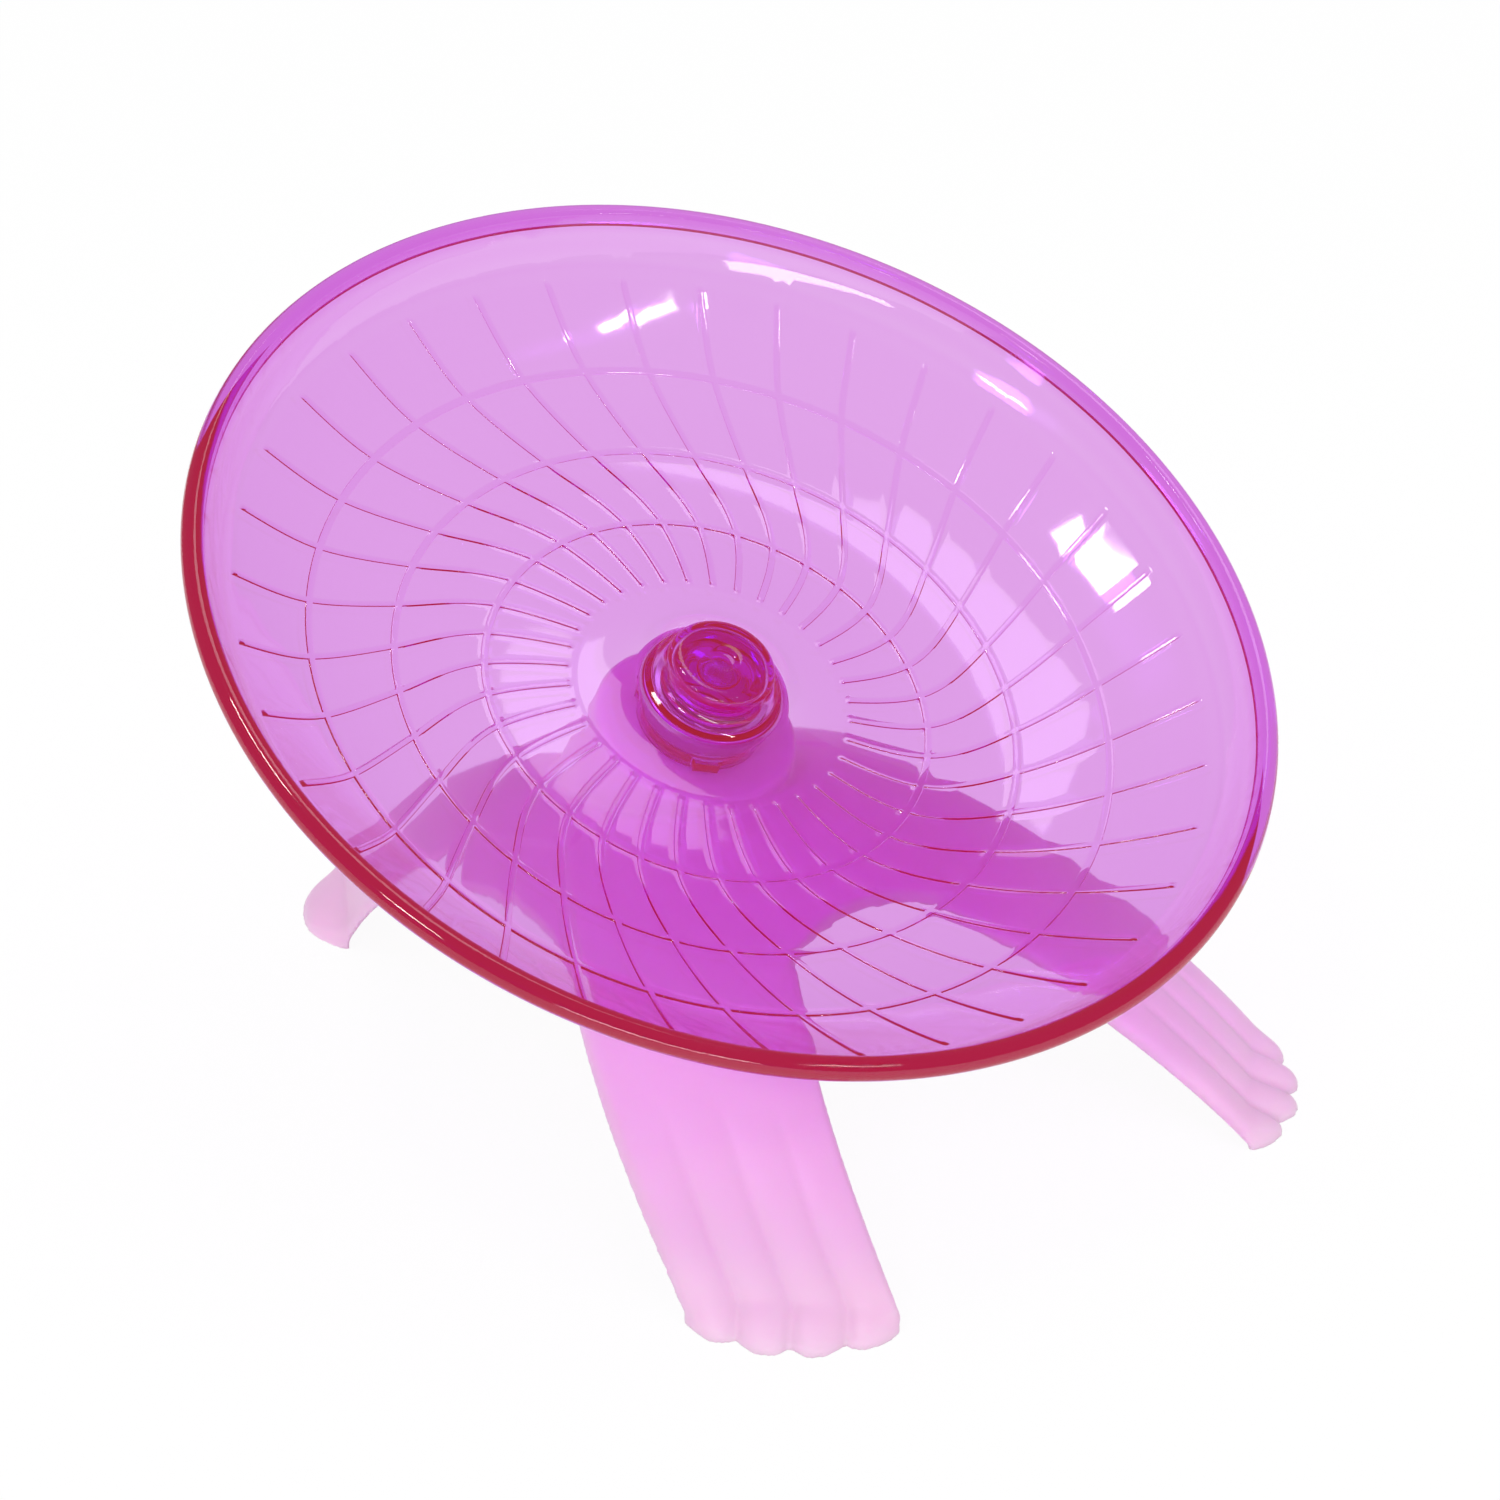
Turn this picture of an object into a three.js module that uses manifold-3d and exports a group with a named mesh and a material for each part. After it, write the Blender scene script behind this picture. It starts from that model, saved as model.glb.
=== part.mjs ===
// A tilted saucer wheel for a small pet: a ribbed, see-through saucer that spins freely on a ball
// bearing, carried by a steel spindle in a four-legged stand with paw-like feet.
// Millimetres, +Z up. The low side of the saucer faces -Y. The origin is the middle of the
// whole wheel's footprint, on the table.
import * as THREE from "three";
import { mergeVertices } from "three/addons/utils/BufferGeometryUtils.js";
import Module from "manifold-3d";

const wasm = await Module();
wasm.setup();

// Whole wheel
const TILT_DEG = 26; // lean of the spindle towards the low side
const GAP = 0.3; // clearance between pieces that nearly touch
const CUT_OVERRUN = 1; // how far a cutter runs past what it cuts

// Saucer bowl
const SAUCER_RADIUS = 89.7;
const BOWL_DEPTH = 24.3; // rim top to the lowest ring of the floor
const SAUCER_WALL = 2;
const BEAD_DIAMETER = 3.8; // rolled rim
const BEAD_STEPS = 6;
const FLOOR_DROP = 0.9; // bearing's upper face down to the bowl's floor
const HUB_SEGMENTS = 36;
const RIM_SEGMENTS = 72;
const BOWL_STEPS = 7;

// Ribs inside the bowl
const RIB_HEIGHT = 0.6;
const RIB_WIDTH = 1.6; // at the foot
const SPIRAL_RIB_COUNT = 36;
const SPIRAL_RIB_SWEEP_DEG = 25.6;
const SPIRAL_RIB_PHASE_DEG = 3.1;
const RIM_TO_RIBS = 8.9; // smooth band inside the rim
const FLARE_TO_RIBS = 0.9; // smooth band round the hub's flare

// Hub boss in the middle of the saucer
const KNOB_RADIUS = 9;
const KNOB_RISE = 8.3; // bearing's upper face to the knob's top
const KNOB_WALL = 1.5; // skin round the knob's core
const CORE_RADIUS = 7.1; // solid core of the knob, inside a moat that widens downwards
const CORE_FOOT_RADIUS = 8.2; // where the core stands on the bearing's outer race
const CORE_FOOT_HEIGHT = 0.8;
const MOAT_ROOF = 2.2; // plastic left over the moat
const KNOB_ROOF = 5.4; // plastic left over the hollow for the spindle's end
const HOLLOW_MARGIN = 0.6; // side of that hollow round the spindle and its retaining clip
const KNOB_EDGE = 1.9; // rounding of the knob's edge
const KNOB_NECK_DROP = 2.8; // knob top to the start of the flare
const KNOB_DIMPLE_RADIUS = 2.6;
const KNOB_DIMPLE_DEPTH = 0.5;
const FLARE_FOOT_RADIUS = 22.2;
const HUB_TUBE_WALL = 0.9;
const HUB_TUBE_LIFT = 0.6; // running gap over the pedestal

// Ball bearing
const BEARING_BORE_RADIUS = 3;
const BEARING_RADIUS = 9.5;
const BEARING_WIDTH = 6;
const BALL_RADIUS = 1.6;
const BALL_COUNT = 7;
const RACE_LAND = 1.25; // ball centre circle to each race's land
const SHIELD_THICKNESS = 0.3;
const SHIELD_INSET = 0.15;
const RACE_SEGMENTS = 28;

// Bayonet ring under the bearing
const BAYONET_HEIGHT = 2;
const BAYONET_RUNNING_GAP = 0.7; // ring's bore to the spindle's collar
const BAYONET_LUG_COUNT = 3;
const BAYONET_LUG_WIDTH = 4.4;
const BAYONET_LUG_PROUD = 0.5; // lug beyond the hub tube

// Spindle and what holds it
const SPINDLE_LAND = 0.7; // steel above the clip's groove
const SPINDLE_CHAMFER = 0.5;
const SPINDLE_RECESS = 2; // spindle's foot above the foot of its boss
const CLIP_GROOVE_DEPTH = 0.6;
const CLIP_THICKNESS = 0.7;
const SCREW_RADIUS = 1.5;
const SCREW_GRIP = 9; // depth of the spindle's threaded hole
const SCREW_HEAD_RADIUS = 3;
const SCREW_HEAD_HEIGHT = 1.9;
const SCREW_SLOT = 0.8;
const WASHER_RADIUS = 4.8;
const WASHER_THICKNESS = 0.8;

// Pedestal of the stand
const PEDESTAL_RISE = 8.9; // dome's top to the middle of the pedestal's top
const PEDESTAL_SET_BACK = 4.1; // middle of the pedestal's top behind the point under the hub
const PEDESTAL_RADIUS = 17.3;
const PEDESTAL_FLARE = 2.4; // widening down to its foot
const PEDESTAL_DEPTH = 30; // along the spindle
const PEDESTAL_HEM_HEIGHT = 30.5; // level lower edge inside the dome
const PEDESTAL_EDGE = 1;
const PEDESTAL_WALL = 2.4;
const SPINDLE_BOSS_WALL = 3.2;
const SPINDLE_BOSS_LENGTH = 15;

// Dome that joins the four legs, with an arched edge between each two of them
const DOME_RADIUS = 46;
const DOME_TOP_HEIGHT = 40;
const DOME_DROP = 12.5; // from its top to its edge
const DOME_STEPS = 6;
const DOME_AHEAD = 3; // dome's middle in front of the point under the hub
const SHELL_WALL = 3;
const SIDE_ARCH_RADIUS = 48;
const SIDE_ARCH_REACH = 40; // point under the hub to the middle of the arch
const FRONT_ARCH_RADIUS = 34;
const FRONT_ARCH_REACH = 36;
const BACK_ARCH_RADIUS = 60;
const BACK_ARCH_REACH = 33;

// Legs
const FRONT_FOOT_REACH = 79.8; // ahead of the point under the hub
const FRONT_FOOT_SPREAD = 48.1; // to the side
const BACK_FOOT_REACH = 59.3;
const BACK_FOOT_SPREAD = 35.3;
const FOOT_WIDTH = 32.5;
const LEG_CROWN = 2.2; // drop of a leg's edges below its middle line
const TOE_COUNT = 4;
const TOE_HEIGHT = 4.2;
const TOE_REACH = 8;
const TOE_GROOVE = 1.3;
const HEEL_REACH = 7.5; // plain round end of a back leg
const LEG_STEPS = 7;
const LEG_FACES_ACROSS = 12;

// Outlines, as shares of the sizes they follow
const bowlShares = [
  [0.257, 0.969], [0.416, 1], [0.581, 0.947], [0.747, 0.757], [0.899, 0.395], [0.943, 0.2],
];
const ringRibShares = [0.417, 0.584, 0.747];
const ribSweepShares = [[0, 0], [0.25, 0.165], [0.51, 0.583], [0.76, 0.863], [1, 1]];
const flareShares = [[0.76, 0.06], [0.5, 0.19], [0.27, 0.38], [0.11, 0.58], [0.03, 0.8], [0, 1]];
const knobEdgeShares = [[0, 1], [0.3, 0.3], [1, 0]];
const dimpleFloorShare = 0.7;
const screwHeadShares = [[0, 0], [0.75, 0], [1, 0.4], [1, 1]];
const slotReachShare = 0.6;
// Inside of the flare, in the hub's bore and the height of the moat over the bearing seat
const moatShares = [[0.776, 0.83], [0.796, 0.655], [0.847, 0.45], [0.939, 0.24], [1, 0.14]];
// Middle line of a leg's upper face at its root and bend, in spread, reach and dome height
const frontPathShares = [[0.287, 0.095, 0.94], [0.784, 0.442, 0.825]];
const backPathShares = [[0.425, 0.152, 0.94], [0.596, 0.769, 0.828]];
// Widths at the root, half way and at the foot
const frontWidthShares = [1.14, 1.08, 1];
const backWidthShares = [0.95, 1.12, 0.78];
const frontTurnsDeg = [0, 30]; // how far a leg's width turns away from square to its path
const backTurnsDeg = [16, 13.4];
const heelPowerShare = 2.45; // how square the round end of a back leg is
const toeStationShares = [[0.45, 0.9], [0.8, 0.68], [1, 0.3]];
const toeCrownShare = 0.72;
const grooveStartShare = 0.62;

const rad = THREE.MathUtils.degToRad;
const v2 = (x, y) => new THREE.Vector2(x, y);

// Closed mesh as a solid that can be joined and cut
function solid(geometry) {
  const bare = new THREE.BufferGeometry();
  const plain = geometry.index ? geometry.toNonIndexed() : geometry;
  bare.setAttribute("position", plain.getAttribute("position"));
  const merged = mergeVertices(bare, 1e-4);
  const index = merged.index.array;
  const kept = [];
  for (let i = 0; i < index.length; i += 3) {
    const [a, b, c] = [index[i], index[i + 1], index[i + 2]];
    if (a !== b && b !== c && c !== a) kept.push(a, b, c);
  }
  return new wasm.Manifold(new wasm.Mesh({
    numProp: 3,
    vertProperties: merged.attributes.position.array,
    triVerts: new Uint32Array(kept),
  }));
}

// Solid back to a mesh geometry
function geometryOf(shape) {
  const mesh = shape.getMesh();
  const geometry = new THREE.BufferGeometry();
  geometry.setAttribute("position", new THREE.BufferAttribute(new Float32Array(mesh.vertProperties), 3));
  geometry.setIndex(new THREE.BufferAttribute(new Uint32Array(mesh.triVerts), 1));
  geometry.computeVertexNormals();
  return geometry;
}

const join = (shapes) => shapes.reduce((all, one) => all.add(one));

// Turned about Z: the profile runs up the outside, from the axis or closed on itself
function turned(points, segments) {
  return new THREE.LatheGeometry(points, segments).rotateX(Math.PI / 2);
}

// Ring of rectangular section
function ring(inner, outer, bottom, top, segments) {
  return turned([v2(inner, bottom), v2(outer, bottom), v2(outer, top), v2(inner, top), v2(inner, bottom)],
    segments);
}

// Round bar or disc
function bar(radius, bottom, top, segments) {
  return turned([v2(0, bottom), v2(radius, bottom), v2(radius, top), v2(0, top)], segments);
}

function box(width, depth, bottom, top) {
  return new THREE.BoxGeometry(width, depth, top - bottom).translate(0, 0, (top + bottom) / 2);
}

// Heights are above the pedestal's top, along the spindle
const bearingLift = HUB_TUBE_LIFT + BAYONET_HEIGHT + GAP;
const bearingTop = bearingLift + BEARING_WIDTH;
const hubBore = BEARING_RADIUS + GAP;
const hubTubeRadius = hubBore + HUB_TUBE_WALL;
const floorHeight = bearingTop - FLOOR_DROP;
const rimHeight = floorHeight + BOWL_DEPTH;
const knobTop = bearingTop + KNOB_RISE;
const beadRadius = BEAD_DIAMETER / 2;
const bowlEdgeRadius = SAUCER_RADIUS - beadRadius - beadRadius * Math.SQRT1_2;
const ribInnerRadius = FLARE_FOOT_RADIUS + FLARE_TO_RIBS;
const ribOuterRadius = SAUCER_RADIUS - RIM_TO_RIBS;

const bowlCurve = new THREE.SplineCurve([
  ...bowlShares.map(([r, d]) => v2(r * SAUCER_RADIUS, rimHeight - d * BOWL_DEPTH)),
  v2(bowlEdgeRadius, rimHeight - beadRadius),
]);
const ribSweepCurve = new THREE.SplineCurve(ribSweepShares.map(([r, a]) => v2(r, a)));

// Value of a rising curve at a given x
function along(curve, x) {
  let low = 0;
  let high = 1;
  for (let i = 0; i < 40; i += 1) {
    const middle = (low + high) / 2;
    if (curve.getPoint(middle).x < x) low = middle;
    else high = middle;
  }
  return curve.getPoint(low).y;
}

// Point of the bowl's wall in the profile's plane, lifted square to the upper face
function wallPoint(radius, lift) {
  const clear = THREE.MathUtils.clamp(radius, ribInnerRadius + RIB_WIDTH, bowlEdgeRadius - RIB_WIDTH);
  const rise = along(bowlCurve, clear + RIB_WIDTH / 4) - along(bowlCurve, clear - RIB_WIDTH / 4);
  const normal = v2(-rise, RIB_WIDTH / 2).normalize();
  return v2(radius, along(bowlCurve, radius)).addScaledVector(normal, lift);
}

// Rings of points about Z, one for each point of a profile
function ringOf(point, count, startAngle) {
  const points = [];
  for (let i = 0; i < count; i += 1) {
    const angle = startAngle + (i * 2 * Math.PI) / count;
    points.push(new THREE.Vector3(point.x * Math.cos(angle), point.x * Math.sin(angle), point.y));
  }
  return points;
}

// Ring of the ribbed upper face: for each spiral rib its crest, its far foot and the next near foot
function ribbedRing(radius, crestLift, faceLift) {
  const share = (radius - ribInnerRadius) / (ribOuterRadius - ribInnerRadius);
  const start = rad(SPIRAL_RIB_PHASE_DEG + SPIRAL_RIB_SWEEP_DEG * along(ribSweepCurve, share));
  const pitch = (2 * Math.PI) / SPIRAL_RIB_COUNT;
  const half = RIB_WIDTH / 2 / radius;
  const crest = wallPoint(radius, crestLift);
  const face = wallPoint(radius, faceLift);
  const points = [];
  for (let i = 0; i < SPIRAL_RIB_COUNT; i += 1) {
    for (const [offset, at] of [[0, crest], [half, face], [pitch - half, face]]) {
      const angle = start + i * pitch + offset;
      points.push(new THREE.Vector3(at.x * Math.cos(angle), at.x * Math.sin(angle), at.y));
    }
  }
  return points;
}

function ribbedFace() {
  const half = RIB_WIDTH / 2;
  const rings = [ribbedRing(ribInnerRadius, 0, 0), ribbedRing(ribInnerRadius + half, RIB_HEIGHT, 0)];
  let before = ribInnerRadius;
  for (const radius of ringRibShares.map((r) => r * SAUCER_RADIUS)) {
    rings.push(ribbedRing((before + radius) / 2, RIB_HEIGHT, 0));
    rings.push(ribbedRing(radius - half, RIB_HEIGHT, 0));
    rings.push(ribbedRing(radius, RIB_HEIGHT, RIB_HEIGHT));
    rings.push(ribbedRing(radius + half, RIB_HEIGHT, 0));
    before = radius;
  }
  rings.push(ribbedRing((before + ribOuterRadius) / 2, RIB_HEIGHT, 0));
  rings.push(ribbedRing(ribOuterRadius - half, RIB_HEIGHT, 0));
  rings.push(ribbedRing(ribOuterRadius, 0, 0));
  return rings;
}

function beadArc() {
  const points = [];
  const centre = v2(SAUCER_RADIUS - beadRadius, rimHeight - beadRadius);
  for (let i = 0; i <= BEAD_STEPS; i += 1) {
    const angle = rad(135 - (i * 225) / BEAD_STEPS);
    points.push(v2(centre.x + beadRadius * Math.cos(angle), centre.y + beadRadius * Math.sin(angle)));
  }
  return points;
}

// Outside of the flare, from the bowl's floor up to the knob's neck
function flare() {
  const foot = along(bowlCurve, ribInnerRadius);
  const neck = knobTop - KNOB_NECK_DROP;
  const spread = FLARE_FOOT_RADIUS - KNOB_RADIUS;
  return flareShares.map(([r, h]) => v2(KNOB_RADIUS + r * spread, foot + h * (neck - foot)));
}

// Hollow for the spindle's end, core of the knob with its moat, bearing seat, hub tube and underside
// of the flare, from the axis outwards
function hubUnderside() {
  const seat = bearingTop + GAP;
  const roof = knobTop - KNOB_ROOF;
  const moatTop = knobTop - MOAT_ROOF;
  const tip = BEARING_BORE_RADIUS + HOLLOW_MARGIN;
  const hollow = innerLand + HOLLOW_MARGIN;
  const shell = flare().filter((p) => p.x > hubTubeRadius + HUB_TUBE_LIFT).reverse();
  return [
    v2(0, roof),
    v2(tip, roof),
    v2(tip, clipGrooveTop),
    v2(hollow, clipGrooveTop),
    v2(hollow, seat),
    v2(CORE_FOOT_RADIUS, seat),
    v2(CORE_FOOT_RADIUS, seat + CORE_FOOT_HEIGHT),
    v2(CORE_RADIUS, seat + CORE_FOOT_HEIGHT + GAP),
    v2(CORE_RADIUS, moatTop),
    v2(KNOB_RADIUS - KNOB_WALL, moatTop),
    ...moatShares.map(([r, h]) => v2(r * hubBore, seat + h * (moatTop - seat))),
    v2(hubBore, HUB_TUBE_LIFT),
    v2(hubTubeRadius, HUB_TUBE_LIFT),
    v2(hubTubeRadius, shell[0].y - SAUCER_WALL),
    ...shell.map((p) => v2(p.x, p.y - SAUCER_WALL)),
  ];
}

// Flare and knob, from the bowl's floor to the axis
function hubTop() {
  return [
    ...flare(),
    ...knobEdgeShares.map(([r, h]) => v2(KNOB_RADIUS - r * KNOB_EDGE, knobTop - h * KNOB_EDGE)),
    v2(KNOB_DIMPLE_RADIUS, knobTop),
    v2(KNOB_DIMPLE_RADIUS * dimpleFloorShare, knobTop - KNOB_DIMPLE_DEPTH),
    v2(0, knobTop - KNOB_DIMPLE_DEPTH),
  ];
}

// Closed skin through rings of points in the same turning sense. Rings of different counts are
// joined share by share, and a ring of one point closes an end.
function closedSkin(rings) {
  const positions = rings.flat().flatMap((p) => [p.x, p.y, p.z]);
  const index = [];
  let base = 0;
  for (let k = 0; k + 1 < rings.length; k += 1) {
    const [a, b] = [rings[k].length, rings[k + 1].length];
    const next = base + a;
    let i = 0;
    let j = 0;
    while (i < a || j < b) {
      const goFirst = b === 1 || (a > 1 && i < a && (i + 1) / a <= (j + 1) / b);
      if (goFirst && i < a) {
        index.push(base + (i % a), base + ((i + 1) % a), next + (j % b));
        i += 1;
        if (b === 1 && i === a) break;
      } else {
        index.push(base + (i % a), next + ((j + 1) % b), next + (j % b));
        j += 1;
        if (a === 1 && j === b) break;
      }
    }
    base = next;
  }
  return facingOut(positions, index);
}

// Closed skin through rows that go over the upper face and back under it. Each end is closed by a
// strip between the two.
function closedLoft(rows) {
  const count = rows[0].length;
  const positions = rows.flat().flatMap((p) => [p.x, p.y, p.z]);
  const index = [];
  for (let i = 0; i + 1 < rows.length; i += 1) {
    for (let j = 0; j < count; j += 1) {
      const a = i * count + j;
      const b = i * count + ((j + 1) % count);
      index.push(a, b, b + count, a, b + count, a + count);
    }
  }
  const last = (rows.length - 1) * count;
  for (let j = 0; j + 1 < count / 2; j += 1) {
    const k = count - 1 - j;
    index.push(j, k, k - 1, j, k - 1, j + 1);
    index.push(last + j, last + j + 1, last + k - 1, last + j, last + k - 1, last + k);
  }
  return facingOut(positions, index);
}

function facingOut(positions, index) {
  const geometry = new THREE.BufferGeometry();
  geometry.setAttribute("position", new THREE.Float32BufferAttribute(positions, 3));
  geometry.setIndex(index);
  const shape = solid(geometry);
  if (shape.volume() > 0) return shape;
  const flipped = [];
  for (let i = 0; i < index.length; i += 3) flipped.push(index[i], index[i + 2], index[i + 1]);
  geometry.setIndex(flipped);
  return solid(geometry);
}

// Bearing radii and heights, from the middle plane of the balls
const ballCircle = (BEARING_BORE_RADIUS + BEARING_RADIUS) / 2;
const ballHeight = bearingLift + BEARING_WIDTH / 2;
const innerLand = ballCircle - RACE_LAND;
const outerLand = ballCircle + RACE_LAND;
const shieldFace = BEARING_WIDTH / 2 - SHIELD_INSET;
const shieldStep = shieldFace - SHIELD_THICKNESS - GAP;
const collarRadius = innerLand - GAP;
const bayonetBore = collarRadius + BAYONET_RUNNING_GAP;

function bayonetLugs(width, outer, bottom, top) {
  const inner = (bayonetBore + BEARING_RADIUS) / 2;
  const lugs = [];
  for (let i = 0; i < BAYONET_LUG_COUNT; i += 1) {
    const lug = box(outer - inner, width, bottom, top).translate((outer + inner) / 2, 0, 0);
    lugs.push(solid(lug.rotateZ((i * 2 * Math.PI) / BAYONET_LUG_COUNT)));
  }
  return join(lugs);
}

function saucer() {
  const phase = rad(SPIRAL_RIB_PHASE_DEG);
  const rimPhase = rad(SPIRAL_RIB_PHASE_DEG + SPIRAL_RIB_SWEEP_DEG);
  const hubRing = (p) => (p.x > 0 ? ringOf(p, HUB_SEGMENTS, phase) : [new THREE.Vector3(0, 0, p.y)]);
  const rimRing = (p) => ringOf(p, RIM_SEGMENTS, rimPhase);
  const lower = [];
  for (let i = 0; i <= BOWL_STEPS; i += 1) {
    const radius = THREE.MathUtils.lerp(ribInnerRadius, bowlEdgeRadius, i / BOWL_STEPS);
    lower.push(wallPoint(radius, -SAUCER_WALL));
  }
  const bowl = closedSkin([
    ...hubUnderside().map(hubRing),
    ...lower.map(rimRing),
    ...beadArc().reverse().map(rimRing),
    ...ribbedFace().reverse(),
    ...hubTop().map(hubRing),
  ]);
  const notches = bayonetLugs(BAYONET_LUG_WIDTH + 2 * GAP, hubTubeRadius + CUT_OVERRUN,
    HUB_TUBE_LIFT - CUT_OVERRUN, HUB_TUBE_LIFT + BAYONET_HEIGHT + GAP);
  return geometryOf(bowl.subtract(notches));
}

function bayonetRing() {
  const bottom = HUB_TUBE_LIFT;
  const top = HUB_TUBE_LIFT + BAYONET_HEIGHT;
  const body = solid(ring(bayonetBore, BEARING_RADIUS, bottom, top, RACE_SEGMENTS));
  const lugs = bayonetLugs(BAYONET_LUG_WIDTH, hubTubeRadius + BAYONET_LUG_PROUD, bottom, top);
  return geometryOf(body.add(lugs));
}

// Groove of a race round the balls, from its lower land to its upper one
function grooveArc(land, outward) {
  const radius = BALL_RADIUS + GAP;
  const reach = Math.abs(land - ballCircle);
  const half = Math.acos(reach / radius);
  const points = [];
  for (let i = 0; i <= 4; i += 1) {
    const angle = -half + (i * half) / 2;
    points.push(v2(ballCircle + outward * radius * Math.cos(angle), radius * Math.sin(angle)));
  }
  return points;
}

function outerRace() {
  const half = BEARING_WIDTH / 2;
  const step = outerLand + SHIELD_THICKNESS;
  return turned([
    v2(BEARING_RADIUS, -half),
    v2(BEARING_RADIUS, half),
    v2(step, half),
    v2(step, shieldStep),
    v2(outerLand, shieldStep),
    ...grooveArc(outerLand, 1).reverse(),
    v2(outerLand, -shieldStep),
    v2(step, -shieldStep),
    v2(step, -half),
    v2(BEARING_RADIUS, -half),
  ], RACE_SEGMENTS);
}

function innerRace() {
  const half = BEARING_WIDTH / 2;
  const bore = BEARING_BORE_RADIUS + GAP;
  return turned([
    v2(bore, half),
    v2(bore, -half),
    v2(innerLand, -half),
    ...grooveArc(innerLand, -1),
    v2(innerLand, half),
    v2(bore, half),
  ], RACE_SEGMENTS);
}

function shield() {
  return ring(innerLand + GAP, outerLand, shieldFace - SHIELD_THICKNESS, shieldFace, RACE_SEGMENTS);
}

function ballCentre(i) {
  const angle = (i * 2 * Math.PI) / BALL_COUNT;
  return new THREE.Vector3(ballCircle * Math.cos(angle), ballCircle * Math.sin(angle), 0);
}

// Half of the cage, with a round pocket for each ball
function cageHalf() {
  const pockets = [];
  for (let i = 0; i < BALL_COUNT; i += 1) {
    const pocket = new THREE.SphereGeometry(BALL_RADIUS + GAP, 10, 6).rotateX(Math.PI / 2);
    pockets.push(solid(pocket.translate(...ballCentre(i).toArray())));
  }
  const band = solid(ring(innerLand + GAP, outerLand - GAP, GAP / 2, shieldStep, RACE_SEGMENTS));
  return geometryOf(band.subtract(join(pockets)));
}

const bossFoot = -SPINDLE_BOSS_LENGTH;
const spindleFoot = bossFoot + SPINDLE_RECESS;
const screwHoleEnd = spindleFoot + SCREW_GRIP;
const clipGroove = bearingTop + GAP;
const clipGrooveTop = clipGroove + CLIP_THICKNESS + 2 * GAP;
const spindleCore = BEARING_BORE_RADIUS - CLIP_GROOVE_DEPTH;

function spindle() {
  const top = clipGrooveTop + SPINDLE_LAND;
  const hole = SCREW_RADIUS + GAP;
  return turned([
    v2(0, screwHoleEnd),
    v2(hole, screwHoleEnd),
    v2(hole, spindleFoot),
    v2(BEARING_BORE_RADIUS, spindleFoot),
    v2(BEARING_BORE_RADIUS, GAP),
    v2(collarRadius, GAP),
    v2(collarRadius, bearingLift - GAP),
    v2(BEARING_BORE_RADIUS, bearingLift - GAP),
    v2(BEARING_BORE_RADIUS, clipGroove),
    v2(spindleCore, clipGroove),
    v2(spindleCore, clipGrooveTop),
    v2(BEARING_BORE_RADIUS, clipGrooveTop),
    v2(BEARING_BORE_RADIUS, top - SPINDLE_CHAMFER),
    v2(BEARING_BORE_RADIUS - SPINDLE_CHAMFER, top),
    v2(0, top),
  ], RACE_SEGMENTS);
}

// Open clip that snaps into the spindle's groove over the inner race
function retainingClip() {
  const bottom = clipGroove + GAP;
  const top = bottom + CLIP_THICKNESS;
  const bore = spindleCore + GAP;
  const mouth = box(innerLand, 2 * bore, bottom - CUT_OVERRUN, top + CUT_OVERRUN);
  const washer = solid(ring(bore, innerLand, bottom, top, RACE_SEGMENTS));
  return geometryOf(washer.subtract(solid(mouth.translate(innerLand / 2 + bore / 2, 0, 0))));
}

function screwWasher() {
  const top = bossFoot - GAP;
  return ring(SCREW_RADIUS + GAP, WASHER_RADIUS, top - WASHER_THICKNESS, top, RACE_SEGMENTS);
}

function spindleScrew() {
  const seat = bossFoot - WASHER_THICKNESS - 2 * GAP;
  const bottom = seat - SCREW_HEAD_HEIGHT;
  const recess = bottom + SCREW_HEAD_HEIGHT / 2;
  const tip = screwHoleEnd - SCREW_RADIUS;
  const body = solid(turned([
    ...screwHeadShares.map(([r, h]) => v2(r * SCREW_HEAD_RADIUS, bottom + h * SCREW_HEAD_HEIGHT)),
    v2(SCREW_RADIUS, seat),
    v2(SCREW_RADIUS, tip - SCREW_RADIUS),
    v2(0, tip),
  ], RACE_SEGMENTS));
  const slots = [0, Math.PI / 2].map((turn) =>
    solid(box(SCREW_HEAD_RADIUS * 4, SCREW_SLOT, bottom - CUT_OVERRUN, recess).rotateZ(turn)));
  const reach = solid(bar(SCREW_HEAD_RADIUS * slotReachShare, bottom - CUT_OVERRUN, recess, RACE_SEGMENTS));
  return geometryOf(body.subtract(join(slots).intersect(reach)));
}

// The spindle leans from here; its pieces are drawn upright and placed by this matrix
const pedestalTopHeight = DOME_TOP_HEIGHT + PEDESTAL_RISE;
const spindlePlace = new THREE.Matrix4().makeTranslation(0, PEDESTAL_SET_BACK, pedestalTopHeight)
  .multiply(new THREE.Matrix4().makeRotationX(rad(TILT_DEG)));

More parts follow.
